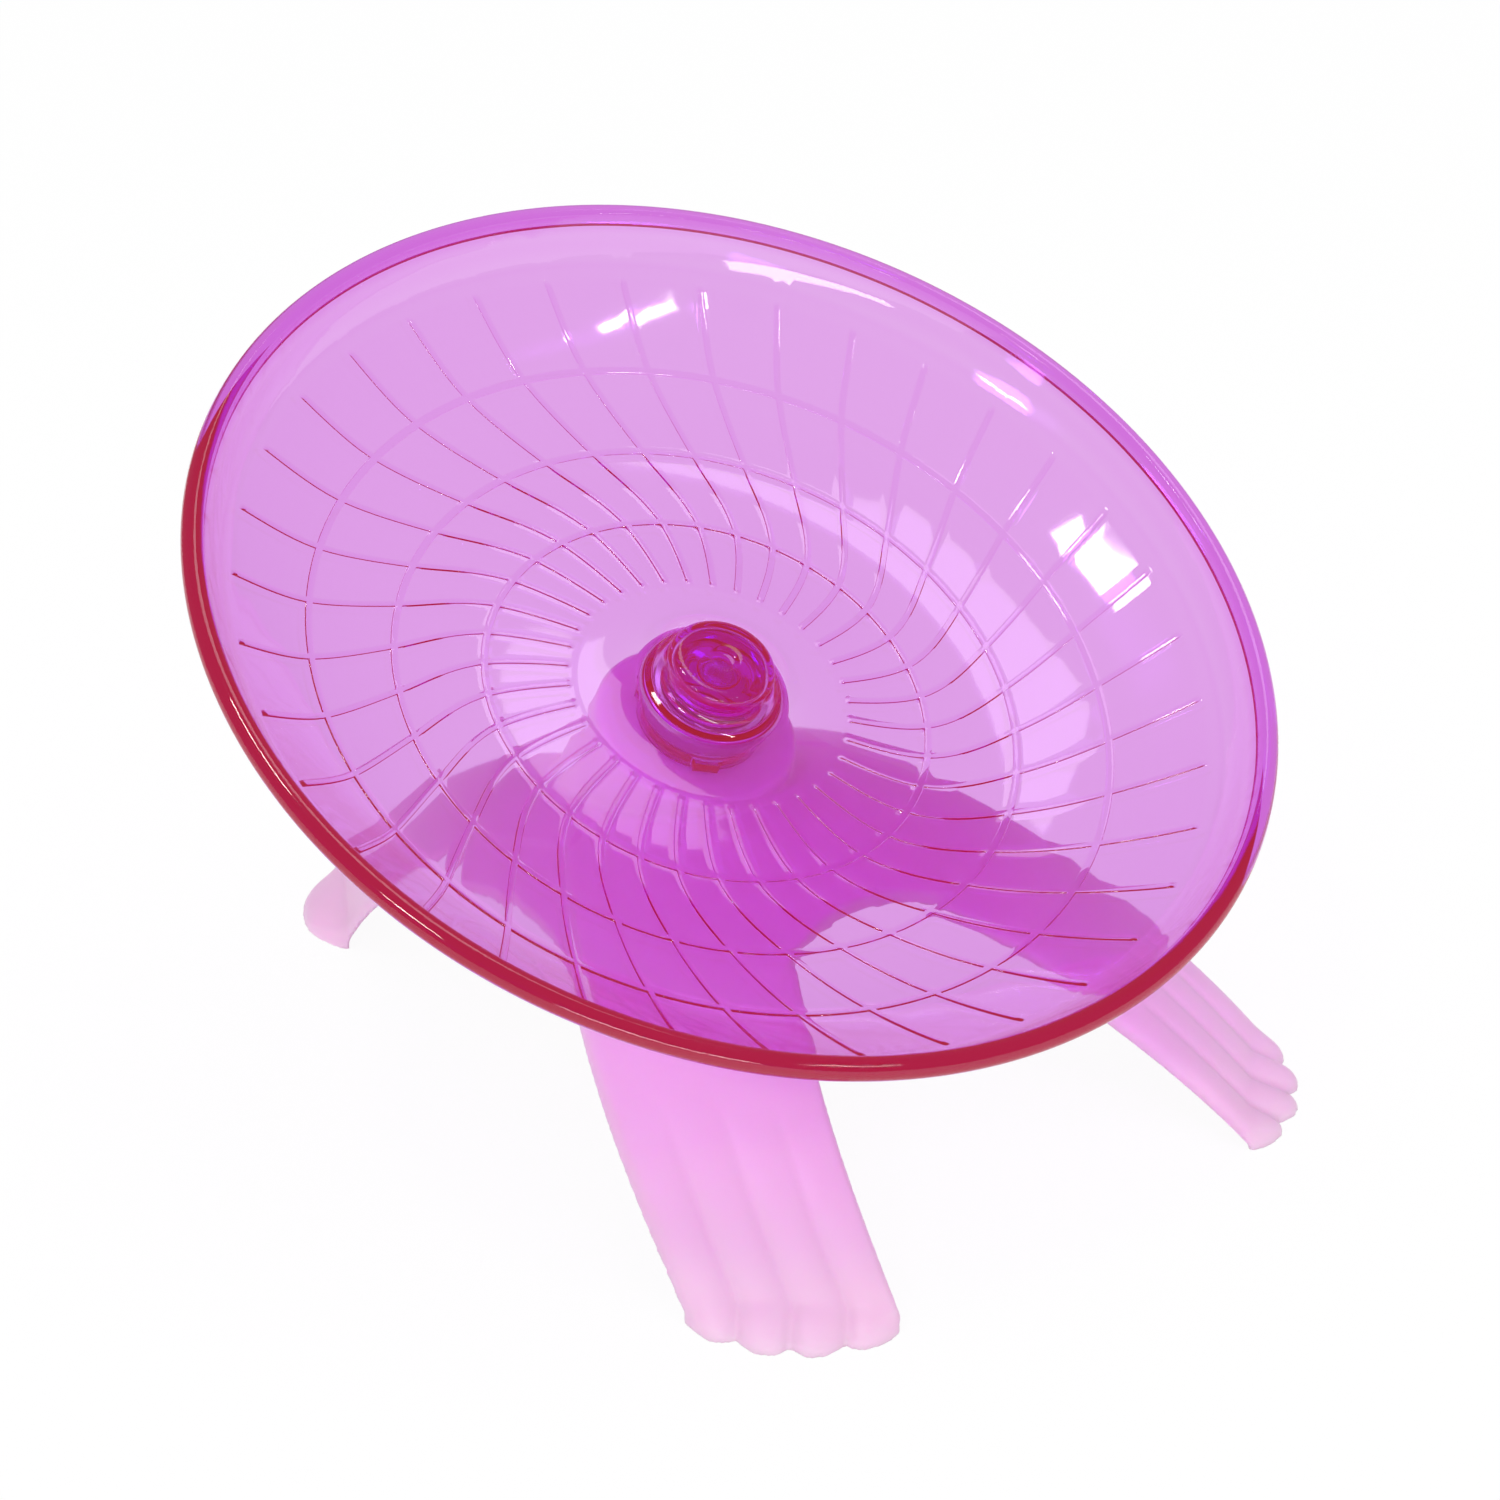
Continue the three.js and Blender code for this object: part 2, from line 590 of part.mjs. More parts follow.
// One leg: a crowned blade that runs down from the dome. A front leg ends in four toes and a back
// leg in a plain round foot.
// side is +1 or -1 along X, front is true for the two legs on the low side.
function leg(side, front) {
  const ahead = front ? -1 : 1;
  const spread = side * (front ? FRONT_FOOT_SPREAD : BACK_FOOT_SPREAD);
  const reachOut = ahead * (front ? FRONT_FOOT_REACH : BACK_FOOT_REACH);
  const [root, bend] = (front ? frontPathShares : backPathShares).map(([x, y, z]) =>
    new THREE.Vector3(x * spread, y * reachOut, z * DOME_TOP_HEIGHT));
  const path = new THREE.QuadraticBezierCurve3(root, bend, new THREE.Vector3(spread, reachOut, TOE_HEIGHT));
  const widths = (front ? frontWidthShares : backWidthShares).map((w) => w * FOOT_WIDTH);
  const turns = (front ? frontTurnsDeg : backTurnsDeg).map((a) => rad(a) * side * -ahead);
  const upright = new THREE.Vector3(0, 0, 1);
  const rows = [];
  const station = (share, reach, lift) => {
    const turn = THREE.MathUtils.lerp(turns[0], turns[1], share);
    const centre = path.getPoint(share);
    const heading = path.getTangent(share).setZ(0).normalize().applyAxisAngle(upright, turn);
    const across = new THREE.Vector3(-heading.y, heading.x, 0);
    const half = share < 0.5 ? 0 : 1;
    const width = THREE.MathUtils.lerp(widths[half], widths[half + 1], share * 2 - half);
    const flute = THREE.MathUtils.smoothstep(share, grooveStartShare, 1);
    const top = [];
    const bottom = [];
    for (let j = 0; j <= LEG_FACES_ACROSS; j += 1) {
      const v = (2 * j) / LEG_FACES_ACROSS - 1;
      const toe = front ? Math.sqrt(Math.abs(Math.sin((Math.PI * TOE_COUNT * (v + 1)) / 2))) : 1;
      const toes = TOE_REACH * (toeCrownShare * (1 - v * v) + (1 - toeCrownShare) * toe);
      const out = reach * (front ? toes : HEEL_REACH * (1 - Math.abs(v) ** heelPowerShare));
      const drop = LEG_CROWN * v * v * (1 - flute) + TOE_GROOVE * (1 - toe) * flute;
      const spot = centre.clone().addScaledVector(across, (v * width) / 2).addScaledVector(heading, out);
      const upper = centre.z * lift - drop;
      top.push(spot.clone().setZ(upper));
      bottom.unshift(spot.clone().setZ(reach > 0 ? -CUT_OVERRUN : upper - SHELL_WALL));
    }
    rows.push([...top, ...bottom]);
  };
  for (let i = 0; i <= LEG_STEPS; i += 1) station(i / LEG_STEPS, 0, 1);
  for (const [reach, lift] of toeStationShares) station(1, reach, lift);
  return closedLoft(rows);
}

function domeShell() {
  const outer = [];
  for (let i = 0; i <= DOME_STEPS; i += 1) {
    const share = i / DOME_STEPS;
    outer.push(v2(share * DOME_RADIUS, DOME_TOP_HEIGHT - DOME_DROP * share ** 2));
  }
  const inner = outer.map((p) => v2(p.x, p.y - SHELL_WALL));
  const dome = solid(turned([...inner, ...outer.reverse()], HUB_SEGMENTS).translate(0, -DOME_AHEAD, 0));
  const arch = (radius, x, y) =>
    solid(bar(radius, 0, DOME_TOP_HEIGHT + CUT_OVERRUN, RIM_SEGMENTS).translate(x, y, 0));
  return dome.subtract(join([
    arch(SIDE_ARCH_RADIUS, SIDE_ARCH_REACH + SIDE_ARCH_RADIUS, 0),
    arch(SIDE_ARCH_RADIUS, -SIDE_ARCH_REACH - SIDE_ARCH_RADIUS, 0),
    arch(FRONT_ARCH_RADIUS, 0, -FRONT_ARCH_REACH - FRONT_ARCH_RADIUS),
    arch(BACK_ARCH_RADIUS, 0, BACK_ARCH_REACH + BACK_ARCH_RADIUS),
  ]));
}

function stand() {
  const table = box(4 * SAUCER_RADIUS, 4 * SAUCER_RADIUS, -SAUCER_RADIUS, 0);
  const legs = [leg(1, true), leg(-1, true), leg(1, false), leg(-1, false)];
  const shell = join([domeShell(), ...legs]).subtract(solid(table));
  const foot = -PEDESTAL_DEPTH;
  const overHem = solid(box(4 * SAUCER_RADIUS, 4 * SAUCER_RADIUS, PEDESTAL_HEM_HEIGHT, SAUCER_RADIUS));
  const footRadius = PEDESTAL_RADIUS + PEDESTAL_FLARE;
  const placed = (geometry) => solid(geometry.applyMatrix4(spindlePlace));
  const outside = placed(turned([
    v2(0, foot),
    v2(footRadius, foot),
    v2(PEDESTAL_RADIUS, -PEDESTAL_EDGE),
    v2(PEDESTAL_RADIUS - PEDESTAL_EDGE, 0),
    v2(0, 0),
  ], HUB_SEGMENTS)).intersect(overHem);
  const inside = placed(turned([
    v2(0, foot - CUT_OVERRUN),
    v2(footRadius - PEDESTAL_WALL, foot - CUT_OVERRUN),
    v2(PEDESTAL_RADIUS - PEDESTAL_WALL, -PEDESTAL_WALL),
    v2(0, -PEDESTAL_WALL),
  ], HUB_SEGMENTS));
  const bore = BEARING_BORE_RADIUS + GAP;
  const boss = placed(bar(bore + SPINDLE_BOSS_WALL, bossFoot, -PEDESTAL_WALL / 2, RACE_SEGMENTS));
  const hole = placed(bar(bore, bossFoot - CUT_OVERRUN, CUT_OVERRUN, RACE_SEGMENTS));
  return geometryOf(shell.add(outside).subtract(inside).add(boss).subtract(hole));
}

const clearPlastic = { color: 0xdda5eb, roughness: 0.08, metalness: 0 };
const frostedPlastic = { color: 0xebb2e5, roughness: 0.45, metalness: 0 };
const steel = { color: 0xb9bcc2, roughness: 0.25, metalness: 1 };
const brass = { color: 0xc9a95c, roughness: 0.35, metalness: 1 };

function piece(name, geometry, look) {
  const mesh = new THREE.Mesh(geometry, new THREE.MeshStandardMaterial(look));
  mesh.name = name;
  return mesh;
}

const wheel = new THREE.Group();
const stack = new THREE.Group();
spindlePlace.decompose(stack.position, stack.quaternion, stack.scale);
const bearing = new THREE.Group();
bearing.position.z = ballHeight;

stack.add(piece("saucer", saucer(), clearPlastic));
stack.add(piece("bayonet_ring", bayonetRing(), clearPlastic));
stack.add(piece("spindle", spindle(), steel));
stack.add(piece("retaining_clip", retainingClip(), steel));
stack.add(piece("screw_washer", screwWasher(), steel));
stack.add(piece("spindle_screw", spindleScrew(), steel));
bearing.add(piece("bearing_outer_race", outerRace(), steel));
bearing.add(piece("bearing_inner_race", innerRace(), steel));
bearing.add(piece("bearing_shield_upper", shield(), steel));
bearing.add(piece("bearing_shield_lower", shield().rotateX(Math.PI), steel));
bearing.add(piece("ball_cage_upper", cageHalf(), brass));
bearing.add(piece("ball_cage_lower", cageHalf().rotateX(Math.PI), brass));
for (let i = 0; i < BALL_COUNT; i += 1) {
  const ball = piece(`ball_${i + 1}`, new THREE.SphereGeometry(BALL_RADIUS, 10, 6), steel);
  ball.position.copy(ballCentre(i));
  bearing.add(ball);
}
stack.add(bearing);
wheel.add(stack);
wheel.add(piece("stand", stand(), frostedPlastic));

// The origin goes to the middle of the footprint
wheel.updateMatrixWorld(true);
const bounds = new THREE.Box3().setFromObject(wheel, true);
wheel.position.set(-(bounds.min.x + bounds.max.x) / 2, -(bounds.min.y + bounds.max.y) / 2, -bounds.min.z);

export default wheel;
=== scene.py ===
# %% [markdown]
# # A tilted saucer wheel
# A clear, magenta-tinted saucer spins on a small ball bearing, and a frosted pink stand on four legs
# carries it at a lean. The front feet have toes like a paw's and the back feet are plain. This
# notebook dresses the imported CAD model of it: the CAD bodies set every size and every motion, and
# Blender adds the roundings, ribs and plastics.

# %% Load the frame
import math

import bmesh
import bpy
import numpy as np
from mathutils import Matrix, Vector


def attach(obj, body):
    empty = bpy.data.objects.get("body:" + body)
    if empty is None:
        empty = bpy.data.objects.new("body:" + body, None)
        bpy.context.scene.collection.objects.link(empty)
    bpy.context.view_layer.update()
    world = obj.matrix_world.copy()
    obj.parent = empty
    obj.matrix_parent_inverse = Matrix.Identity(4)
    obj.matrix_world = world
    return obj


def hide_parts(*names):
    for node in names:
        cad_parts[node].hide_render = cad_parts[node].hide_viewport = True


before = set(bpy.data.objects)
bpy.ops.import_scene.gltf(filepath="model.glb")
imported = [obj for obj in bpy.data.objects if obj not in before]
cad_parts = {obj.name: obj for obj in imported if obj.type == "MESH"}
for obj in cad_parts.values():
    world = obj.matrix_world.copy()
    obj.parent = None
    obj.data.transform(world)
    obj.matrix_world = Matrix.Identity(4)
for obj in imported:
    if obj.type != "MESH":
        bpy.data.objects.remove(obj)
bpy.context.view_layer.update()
MM = 0.001

# %% [markdown]
# ## Two places that the whole model is drawn from
# The turning parts lean 26 degrees towards the low side, so they are drawn upright round the Z
# axis and then leaned together by one matrix. The stand is drawn on the table, round the point
# under the hub. Both keep the numbers readable, which typing leaned positions would not.

# %% Places
TILT = math.radians(26)
HUB_POINT = Vector((0, 10.166, 0)) * MM  # on the table, under the hub
PEDESTAL_TOP = HUB_POINT + Vector((0, 4.1, 48.9)) * MM
UPRIGHT = Matrix()  # for pieces that are leaned after more work
LEAN = Matrix.Translation(PEDESTAL_TOP) @ Matrix.Rotation(TILT, 4, "X")
STAND = Matrix.Translation(HUB_POINT)
print("pedestal top in mm:", [round(c / MM, 2) for c in PEDESTAL_TOP])

# %% [markdown]
# ## A few tools of the trade
# Operators act on whatever is selected, and the loaded CAD nodes arrive selected, so each new
# piece starts from an empty selection. The other helpers apply a modifier, weld a mesh into one
# closed skin, slice it off level, and shade it smooth wherever faces meet at a shallow angle.

# %% Helpers for modelling
WELD_GAP = 0.001 * MM  # points closer than this are one point


def start():
    if bpy.context.mode != "OBJECT":
        bpy.ops.object.mode_set(mode="OBJECT")
    bpy.ops.object.select_all(action="DESELECT")


def only(obj):
    start()
    obj.select_set(True)
    bpy.context.view_layer.objects.active = obj


def modify(obj, kind, **settings):
    only(obj)
    modifier = obj.modifiers.new(kind.lower(), kind)
    for key, value in settings.items():
        setattr(modifier, key, value)
    bpy.ops.object.modifier_apply(modifier=modifier.name)


def weld(obj):
    only(obj)
    bpy.ops.object.mode_set(mode="EDIT")
    bpy.ops.mesh.select_all(action="SELECT")
    bpy.ops.mesh.remove_doubles(threshold=WELD_GAP)
    bpy.ops.mesh.delete_loose(use_verts=True, use_edges=True, use_faces=False)
    bpy.ops.mesh.select_all(action="SELECT")
    bpy.ops.mesh.normals_make_consistent(inside=False)
    bpy.ops.object.mode_set(mode="OBJECT")


def slice_off(obj, height):
    """Cut away everything below a height over the table and close the cut"""
    only(obj)
    bpy.ops.object.mode_set(mode="EDIT")
    bpy.ops.mesh.select_all(action="SELECT")
    bpy.ops.mesh.bisect(
        plane_co=(0, 0, height * MM), plane_no=(0, 0, 1), clear_inner=True, threshold=WELD_GAP)
    bpy.ops.mesh.select_all(action="SELECT")
    bpy.ops.mesh.remove_doubles(threshold=10 * WELD_GAP)
    bpy.ops.mesh.select_all(action="SELECT")
    bpy.ops.mesh.fill_holes(sides=0)
    bpy.ops.object.mode_set(mode="OBJECT")


def round_edges(obj, width, segments):
    modify(obj, "BEVEL", width=width * MM, segments=segments, limit_method="ANGLE",
           angle_limit=math.radians(40))


def smooth(obj, angle=35):
    only(obj)
    bpy.ops.object.shade_smooth_by_angle(angle=math.radians(angle))
    obj.select_set(False)


def report(obj):
    mesh = obj.data
    count = sum(len(p.vertices) - 2 for p in mesh.polygons)
    test = bmesh.new()
    test.from_mesh(mesh)
    open_edges = sum(1 for e in test.edges if len(e.link_faces) != 2)
    volume = test.calc_volume(signed=True) / MM**3
    test.free()
    print(f"{obj.name}: {count} triangles, {open_edges} open edges, {volume:.0f} mm3")


# %% [markdown]
# ## Turned pieces
# Most small pieces are round about the spindle, so one helper makes them the way a lathe does. A
# circle gives the right number of points, the points are moved to the outline in the XZ plane,
# and Spin sweeps them round Z. A sweep that stops short leaves two open ends, which are filled.

# %% Helper for turned pieces
def turned(name, outline, steps=96, sweep=360, place=LEAN):
    start()
    bpy.ops.mesh.primitive_circle_add(vertices=len(outline), radius=MM)
    obj = bpy.context.object
    obj.name = obj.data.name = name
    for vertex, (radius, height) in zip(obj.data.vertices, outline):
        vertex.co = (radius * MM, 0, height * MM)
    bpy.ops.object.mode_set(mode="EDIT")
    bpy.ops.mesh.select_all(action="SELECT")
    bpy.ops.mesh.spin(steps=steps, angle=math.radians(sweep), center=(0, 0, 0), axis=(0, 0, 1))
    bpy.ops.object.mode_set(mode="OBJECT")
    weld(obj)
    if sweep < 360:
        bpy.ops.object.mode_set(mode="EDIT")
        bpy.ops.mesh.select_all(action="SELECT")
        bpy.ops.mesh.fill_holes(sides=0)
        bpy.ops.object.mode_set(mode="OBJECT")
        weld(obj)
    obj.data.transform(place)
    return obj


def arc(x, z, radius, start_deg, end_deg, steps):
    angles = [math.radians(start_deg + (end_deg - start_deg) * i / steps) for i in range(steps + 1)]
    return [(x + radius * math.cos(a), z + radius * math.sin(a)) for a in angles]


def through(points, steps):
    """Smooth curve through points, with this many steps between each two"""
    p = [Vector(point) for point in points]
    out = []
    for k in range(len(p) - 1):
        before, after = p[max(k - 1, 0)], p[min(k + 2, len(p) - 1)]
        a, b = (p[k + 1] - before) / 2, (after - p[k]) / 2
        for i in range(steps):
            t = i / steps
            bend = (2 * p[k] - 2 * p[k + 1] + a + b) * t**3
            out.append(tuple(bend + (3 * p[k + 1] - 3 * p[k] - 2 * a - b) * t * t + a * t + p[k]))
    return out + [tuple(p[-1])]


print("helpers ready")

# %% [markdown]
# ## The saucer's outline
# The saucer is one injection moulding: bowl, rolled rim, hub and knob. Its half outline is a path
# that starts at the middle of the knob, goes out over the bowl, round the rim and back underneath
# to the axis. A curve through a few measured points gives the bowl, because it isn't a true arc.

# %% Outline of the saucer (mm, up the spindle from the pedestal's top)
SAUCER_RADIUS, BOWL_DEPTH, WALL = 89.7, 24.3, 2.0
RIM_TOP, KNOB_TOP, BEAD = 32.3, 17.2, 1.9
KNOB_RADIUS, KNOB_EDGE, NECK, FLARE_FOOT = 9.0, 1.9, 14.4, 22.2
BOWL = [(0.257, 0.969), (0.416, 1), (0.581, 0.947), (0.747, 0.757), (0.899, 0.395), (0.943, 0.2)]
BOWL_EDGE = SAUCER_RADIUS - BEAD - BEAD * math.sqrt(0.5)
RIB_START, RIB_END = FLARE_FOOT + 0.9, SAUCER_RADIUS - 8.9

bowl_points = [(r * SAUCER_RADIUS, RIM_TOP - d * BOWL_DEPTH) for r, d in BOWL]
bowl_curve = np.array(through(bowl_points + [(BOWL_EDGE, RIM_TOP - BEAD)], 40))


def wall_point(radius, lift):
    """Point of the bowl's wall, lifted square to its upper face"""
    clear = min(max(radius, RIB_START + 1.6), BOWL_EDGE - 1.6)
    low, high = np.interp([clear - 0.4, clear + 0.4], *bowl_curve.T)
    normal = Vector((low - high, 0.8)).normalized() * lift
    return radius + normal.x, float(np.interp(radius, *bowl_curve.T)) + normal.y


FLARE = [(0, 1), (0.03, 0.8), (0.11, 0.58), (0.27, 0.38), (0.5, 0.19), (0.76, 0.06), (1, 0)]
flare_foot = wall_point(RIB_START, 0)[1]
flare = [
    (KNOB_RADIUS + r * (FLARE_FOOT - KNOB_RADIUS), flare_foot + h * (NECK - flare_foot))
    for r, h in FLARE
]
knob = [(0, KNOB_TOP - 0.5), (1.0, KNOB_TOP - 0.5), (1.7, KNOB_TOP - 0.46), (2.1, KNOB_TOP - 0.3)]
knob += [(2.4, KNOB_TOP - 0.08), (2.8, KNOB_TOP), (4.2, KNOB_TOP), (5.8, KNOB_TOP)]
knob += arc(KNOB_RADIUS - KNOB_EDGE, KNOB_TOP - KNOB_EDGE, KNOB_EDGE, 90, 0, 8)
hub_top = knob + [(r, h) for r, h in through(flare, 4)] + [(FLARE_FOOT + 0.45, flare_foot)]
rim = arc(SAUCER_RADIUS - BEAD, RIM_TOP - BEAD, BEAD, 135, -90, 18)
print(len(hub_top), "points over the hub,", len(rim), "round the rim")

# %% [markdown]
# ## The saucer's skin
# Thirty-six spiral ribs cross three ring ribs inside the bowl. Separate ribs would leave seams
# inside clear plastic, where every hidden face shows, so the ribs have to be swells of one skin. A
# grid is wrapped round the outline instead: its columns follow the spiral ribs and its rows crowd
# together at the rings, so that each rib gets a flat back and two steep sides, which catch the light
# as two thin lines.

# %% Rows and columns of the skin
RIB_HEIGHT, SPIRALS = 0.26, 36
RIB_SIDES = [-0.66, -0.58, -0.5, 0, 0.5, 0.58, 0.66]  # stations across a rib's back and its sides
RIB_FADE = 1.2  # over which a spiral rib comes up at each end
PHASE, SWEEP = math.radians(3.1), math.radians(25.6)
RINGS = [0.417 * SAUCER_RADIUS, 0.584 * SAUCER_RADIUS, 0.747 * SAUCER_RADIUS]
sweep_curve = np.array(through([(0, 0), (0.25, 0.165), (0.51, 0.583), (0.76, 0.863), (1, 1)], 40))
ON_RIB = len(RIB_SIDES) - 1  # last column of a rib
IN_GAP = 5  # steps over the gap to the next rib
COLUMNS = ON_RIB + IN_GAP
PITCH = math.tau / SPIRALS


def bump(distance):
    """Height share of a rib this far from its middle line: flat on top, steep at the sides"""
    return min(max((RIB_SIDES[-1] - abs(distance)) / (RIB_SIDES[-1] - RIB_SIDES[-3]), 0), 1)


def ease(value):
    value = min(max(value, 0), 1)
    return value * value * (3 - 2 * value)


def column_angle(column, radius, even):
    """Angle of a column from its rib's crest. Even spreads the columns evenly."""
    rib, k = divmod(column + ON_RIB // 2, COLUMNS)
    half = RIB_SIDES[-1] / max(radius, RIB_START)
    close = half + (PITCH - 2 * half) * (k - ON_RIB) / IN_GAP
    if k <= ON_RIB:
        close = half * RIB_SIDES[k] / RIB_SIDES[-1]
    return rib * PITCH + close * (1 - even) + PITCH * (k - ON_RIB // 2) / COLUMNS * even


def rib_lift(column, radius):
    k = (column + ON_RIB // 2) % COLUMNS
    ends = ease((radius - RIB_START) / RIB_FADE) * ease((RIB_END - radius) / RIB_FADE)
    spiral = bump(RIB_SIDES[k]) * ends if k <= ON_RIB else 0
    ring = max(bump(radius - r) for r in RINGS)
    return RIB_HEIGHT * (spiral + ring - spiral * ring)


crowded = [r + side for r in RINGS for side in RIB_SIDES]
fade = [0, 0.3, 0.6, 0.9, RIB_FADE]
crowded += [RIB_START + d for d in fade] + [RIB_END - d for d in reversed(fade)]
SPREAD, BAND, UNDER = 36, 5, 30  # steps along the ribs, outside them and back underneath
spread = [RIB_START + (RIB_END - RIB_START) * i / SPREAD for i in range(SPREAD + 1)]
ribbed = sorted(crowded + [r for r in spread if min(abs(r - c) for c in crowded) > 0.5])
band = [RIB_END + (BOWL_EDGE - RIB_END) * i / BAND for i in range(1, BAND)]
under = [BOWL_EDGE - (BOWL_EDGE - RIB_START) * i / UNDER for i in range(UNDER + 1)]

# Underside of the hub: the flare, the tube for the bearing, the flare's inside, the clear core with
# its foot on the bearing, and the hollow over the spindle's tip
SEAT, TUBE, BORE, CORE, CORE_FOOT = 9.2, 10.7, 9.8, 7.1, 8.2
CLIP_ROOM, TIP_ROOM = 5.6, 3.6
hub_under = [(r + 0.35, h - WALL) for r, h in reversed(through(flare, 4)) if r > TUBE + 0.7]
hub_under += [(TUBE + 0.3, hub_under[-1][1] + 0.05), (TUBE, hub_under[-1][1] - 0.25)]
hub_under += [(TUBE, 4), (TUBE, 0.9), (TUBE - 0.08, 0.68), (TUBE - 0.25, 0.6), (BORE + 0.25, 0.6)]
hub_under += [(BORE + 0.08, 0.68), (BORE, 0.9), (BORE, SEAT - 4), (BORE, SEAT)]
hub_under += through([(BORE, 10), (9.2, 10.6), (8.3, 11.8), (7.8, 13), (7.6, 14)], 3)
hub_under += [*arc(CORE + 0.2, 14.8, 0.2, 0, 180, 6), (CORE, 14), (CORE, 12), (CORE, 10.4)]
hub_under += [(CORE + 0.2, 10.2), (CORE_FOOT - 0.2, 10.1), (CORE_FOOT, 9.9), (CORE_FOOT, 9.4)]
hub_under += [(CORE_FOOT - 0.2, SEAT), (CLIP_ROOM + 0.2, SEAT), (CLIP_ROOM, SEAT + 0.2)]
hub_under += [(CLIP_ROOM, 10.4), (CLIP_ROOM - 0.2, 10.6), (TIP_ROOM + 0.2, 10.6), (TIP_ROOM, 10.8)]
hub_under += [(TIP_ROOM, 11.6), (TIP_ROOM - 0.2, 11.8), (1.7, 11.8), (0, 11.8)]

# %% Wrap a grid round the outline
rows = [(r, h, 0.0, 0.0) for r, h in hub_top]
for r in ribbed:
    share = (r - RIB_START) / (RIB_END - RIB_START)
    rows.append((r, None, SWEEP * float(np.interp(share, *sweep_curve.T)), 0.0))
rows += [(*wall_point(r, 0), SWEEP, ease(i / BAND)) for i, r in enumerate(band, 1)]
rows += [(r, h, SWEEP, 1.0) for r, h in rim]
rows += [(*wall_point(r, -WALL), SWEEP, 1.0) for r in under]
rows += [(r, h, SWEEP, 1.0) for r, h in hub_under]

around, along = SPIRALS * COLUMNS, len(rows) - 1
start()
bpy.ops.mesh.primitive_grid_add(x_subdivisions=around, y_subdivisions=along, size=1)
saucer = bpy.context.object
saucer.name = saucer.data.name = "ribbed_saucer"
for vertex in saucer.data.vertices:
    column = round((vertex.co.x + 0.5) * around) % around
    radius, height, turn, even = rows[round((vertex.co.y + 0.5) * along)]
    angle = PHASE + turn + column_angle(column, radius, even)
    if height is None:
        radius, height = wall_point(radius, rib_lift(column, radius))
    vertex.co = (radius * math.cos(angle) * MM, radius * math.sin(angle) * MM, height * MM)
weld(saucer)
report(saucer)

# %% [markdown]
# ## Notches for the bayonet ring
# Under the bearing, the hub tube has three notches that take the lugs of a locking ring. Small boxes
# cut them, because a cut at the tube's edge is quick and leaves the skin closed. The weighted
# normals that follow keep the large faces of the clear wall from looking rippled.

# %% Cut the three notches
def lug_box(name, width, inner, outer, bottom, top, turn):
    start()
    bpy.ops.mesh.primitive_cube_add(size=MM)
    obj = bpy.context.object
    obj.name = obj.data.name = name
    stretch = Matrix.Diagonal((outer - inner, width, top - bottom, 1))
    centre = Matrix.Translation(Vector(((outer + inner) / 2, 0, (bottom + top) / 2)) * MM)
    obj.data.transform(Matrix.Rotation(turn, 4, "Z") @ centre @ stretch)
    return obj


def combine(obj, others, operation):
    for other in others:
        modify(obj, "BOOLEAN", operation=operation, solver="MANIFOLD", object=other)
        bpy.data.objects.remove(other, do_unlink=True)


LUGS, LUG_WIDTH, LUG_GAP = 3, 4.4, 0.3
notches = [
    lug_box(f"notch_{i}", LUG_WIDTH + 2 * LUG_GAP, 7.5, 11.7, -0.4, 2.9, math.tau * i / LUGS)
    for i in range(LUGS)
]
combine(saucer, notches, "DIFFERENCE")
saucer.data.transform(LEAN)
smooth(saucer, 62)
modify(saucer, "WEIGHTED_NORMAL", weight=50, keep_sharp=True)
report(saucer)

# %% [markdown]
# ## The bayonet ring
# A small clear ring closes the tube under the bearing and turns with the saucer. It is turned as a
# plain ring first. Its three lugs are boxes joined to it, and a bevel then rounds every edge, as a
# mould leaves them.

# %% Bayonet ring
RING_INNER, RING_OUTER, RING_FOOT, RING_TOP = 5.4, 9.5, 0.6, 2.6
section = [(RING_INNER, RING_FOOT), (RING_OUTER, RING_FOOT)]
section += [(RING_OUTER, RING_TOP), (RING_INNER, RING_TOP)]
bayonet = turned("bayonet_lock_ring", section, place=UPRIGHT)
lugs = [
    lug_box(f"lug_{i}", LUG_WIDTH, 7.45, 11.2, RING_FOOT, RING_TOP, math.tau * i / LUGS)
    for i in range(LUGS)
]
combine(bayonet, lugs, "UNION")
weld(bayonet)
round_edges(bayonet, 0.2, 3)
bayonet.data.transform(LEAN)
smooth(bayonet)
report(bayonet)

# %% [markdown]
# ## The stand's legs
# Each leg is a crowned blade that runs down in one sweep. The front ones end in four rounded toes,
# the back ones in one round edge. A closed loop of points, over the top and back under, is swept
# along the leg's path. A grid does this well: its columns are the loop and its rows are the
# stations, and the last rows fold down over the foot's front to below the table, where the leg is
# sliced off.

# %% Shape of one leg
FOOT_HEIGHT, FOOT_WIDTH, SHELL, CROWN = 4.2, 32.5, 3.0, 2.2
TOES, TOE_REACH, TOE_GROOVE, HEEL_REACH, EDGE = 4, 8.0, 1.3, 7.5, 1.5
TOE_ARC, HEEL_POWER = 0.72, 2.45  # share of the toes' reach in one common arc, and the heel's roundness
FLUTES_FROM = 0.62  # share of the leg's length where the grooves between the toes begin
BELOW = -1.0  # height that the folded-down rows end at
SLICE = -0.6  # the legs are cut a little under the table, so that no sole is rounded with them
LEGS = {
    "front": {
        "path": [(13.8, -7.6, 37.6), (37.7, -35.3, 33.0), (48.1, -79.8, FOOT_HEIGHT)],
        "widths": [1.14 * FOOT_WIDTH, 1.08 * FOOT_WIDTH, FOOT_WIDTH],
        "turns": [0, 30],
    },
    "back": {
        "path": [(15, 9, 37.6), (21, 45.6, 33.1), (35.3, 59.3, FOOT_HEIGHT)],
        "widths": [0.95 * FOOT_WIDTH, 1.12 * FOOT_WIDTH, 0.78 * FOOT_WIDTH],
        "turns": [-16, -13.4],
    },
}
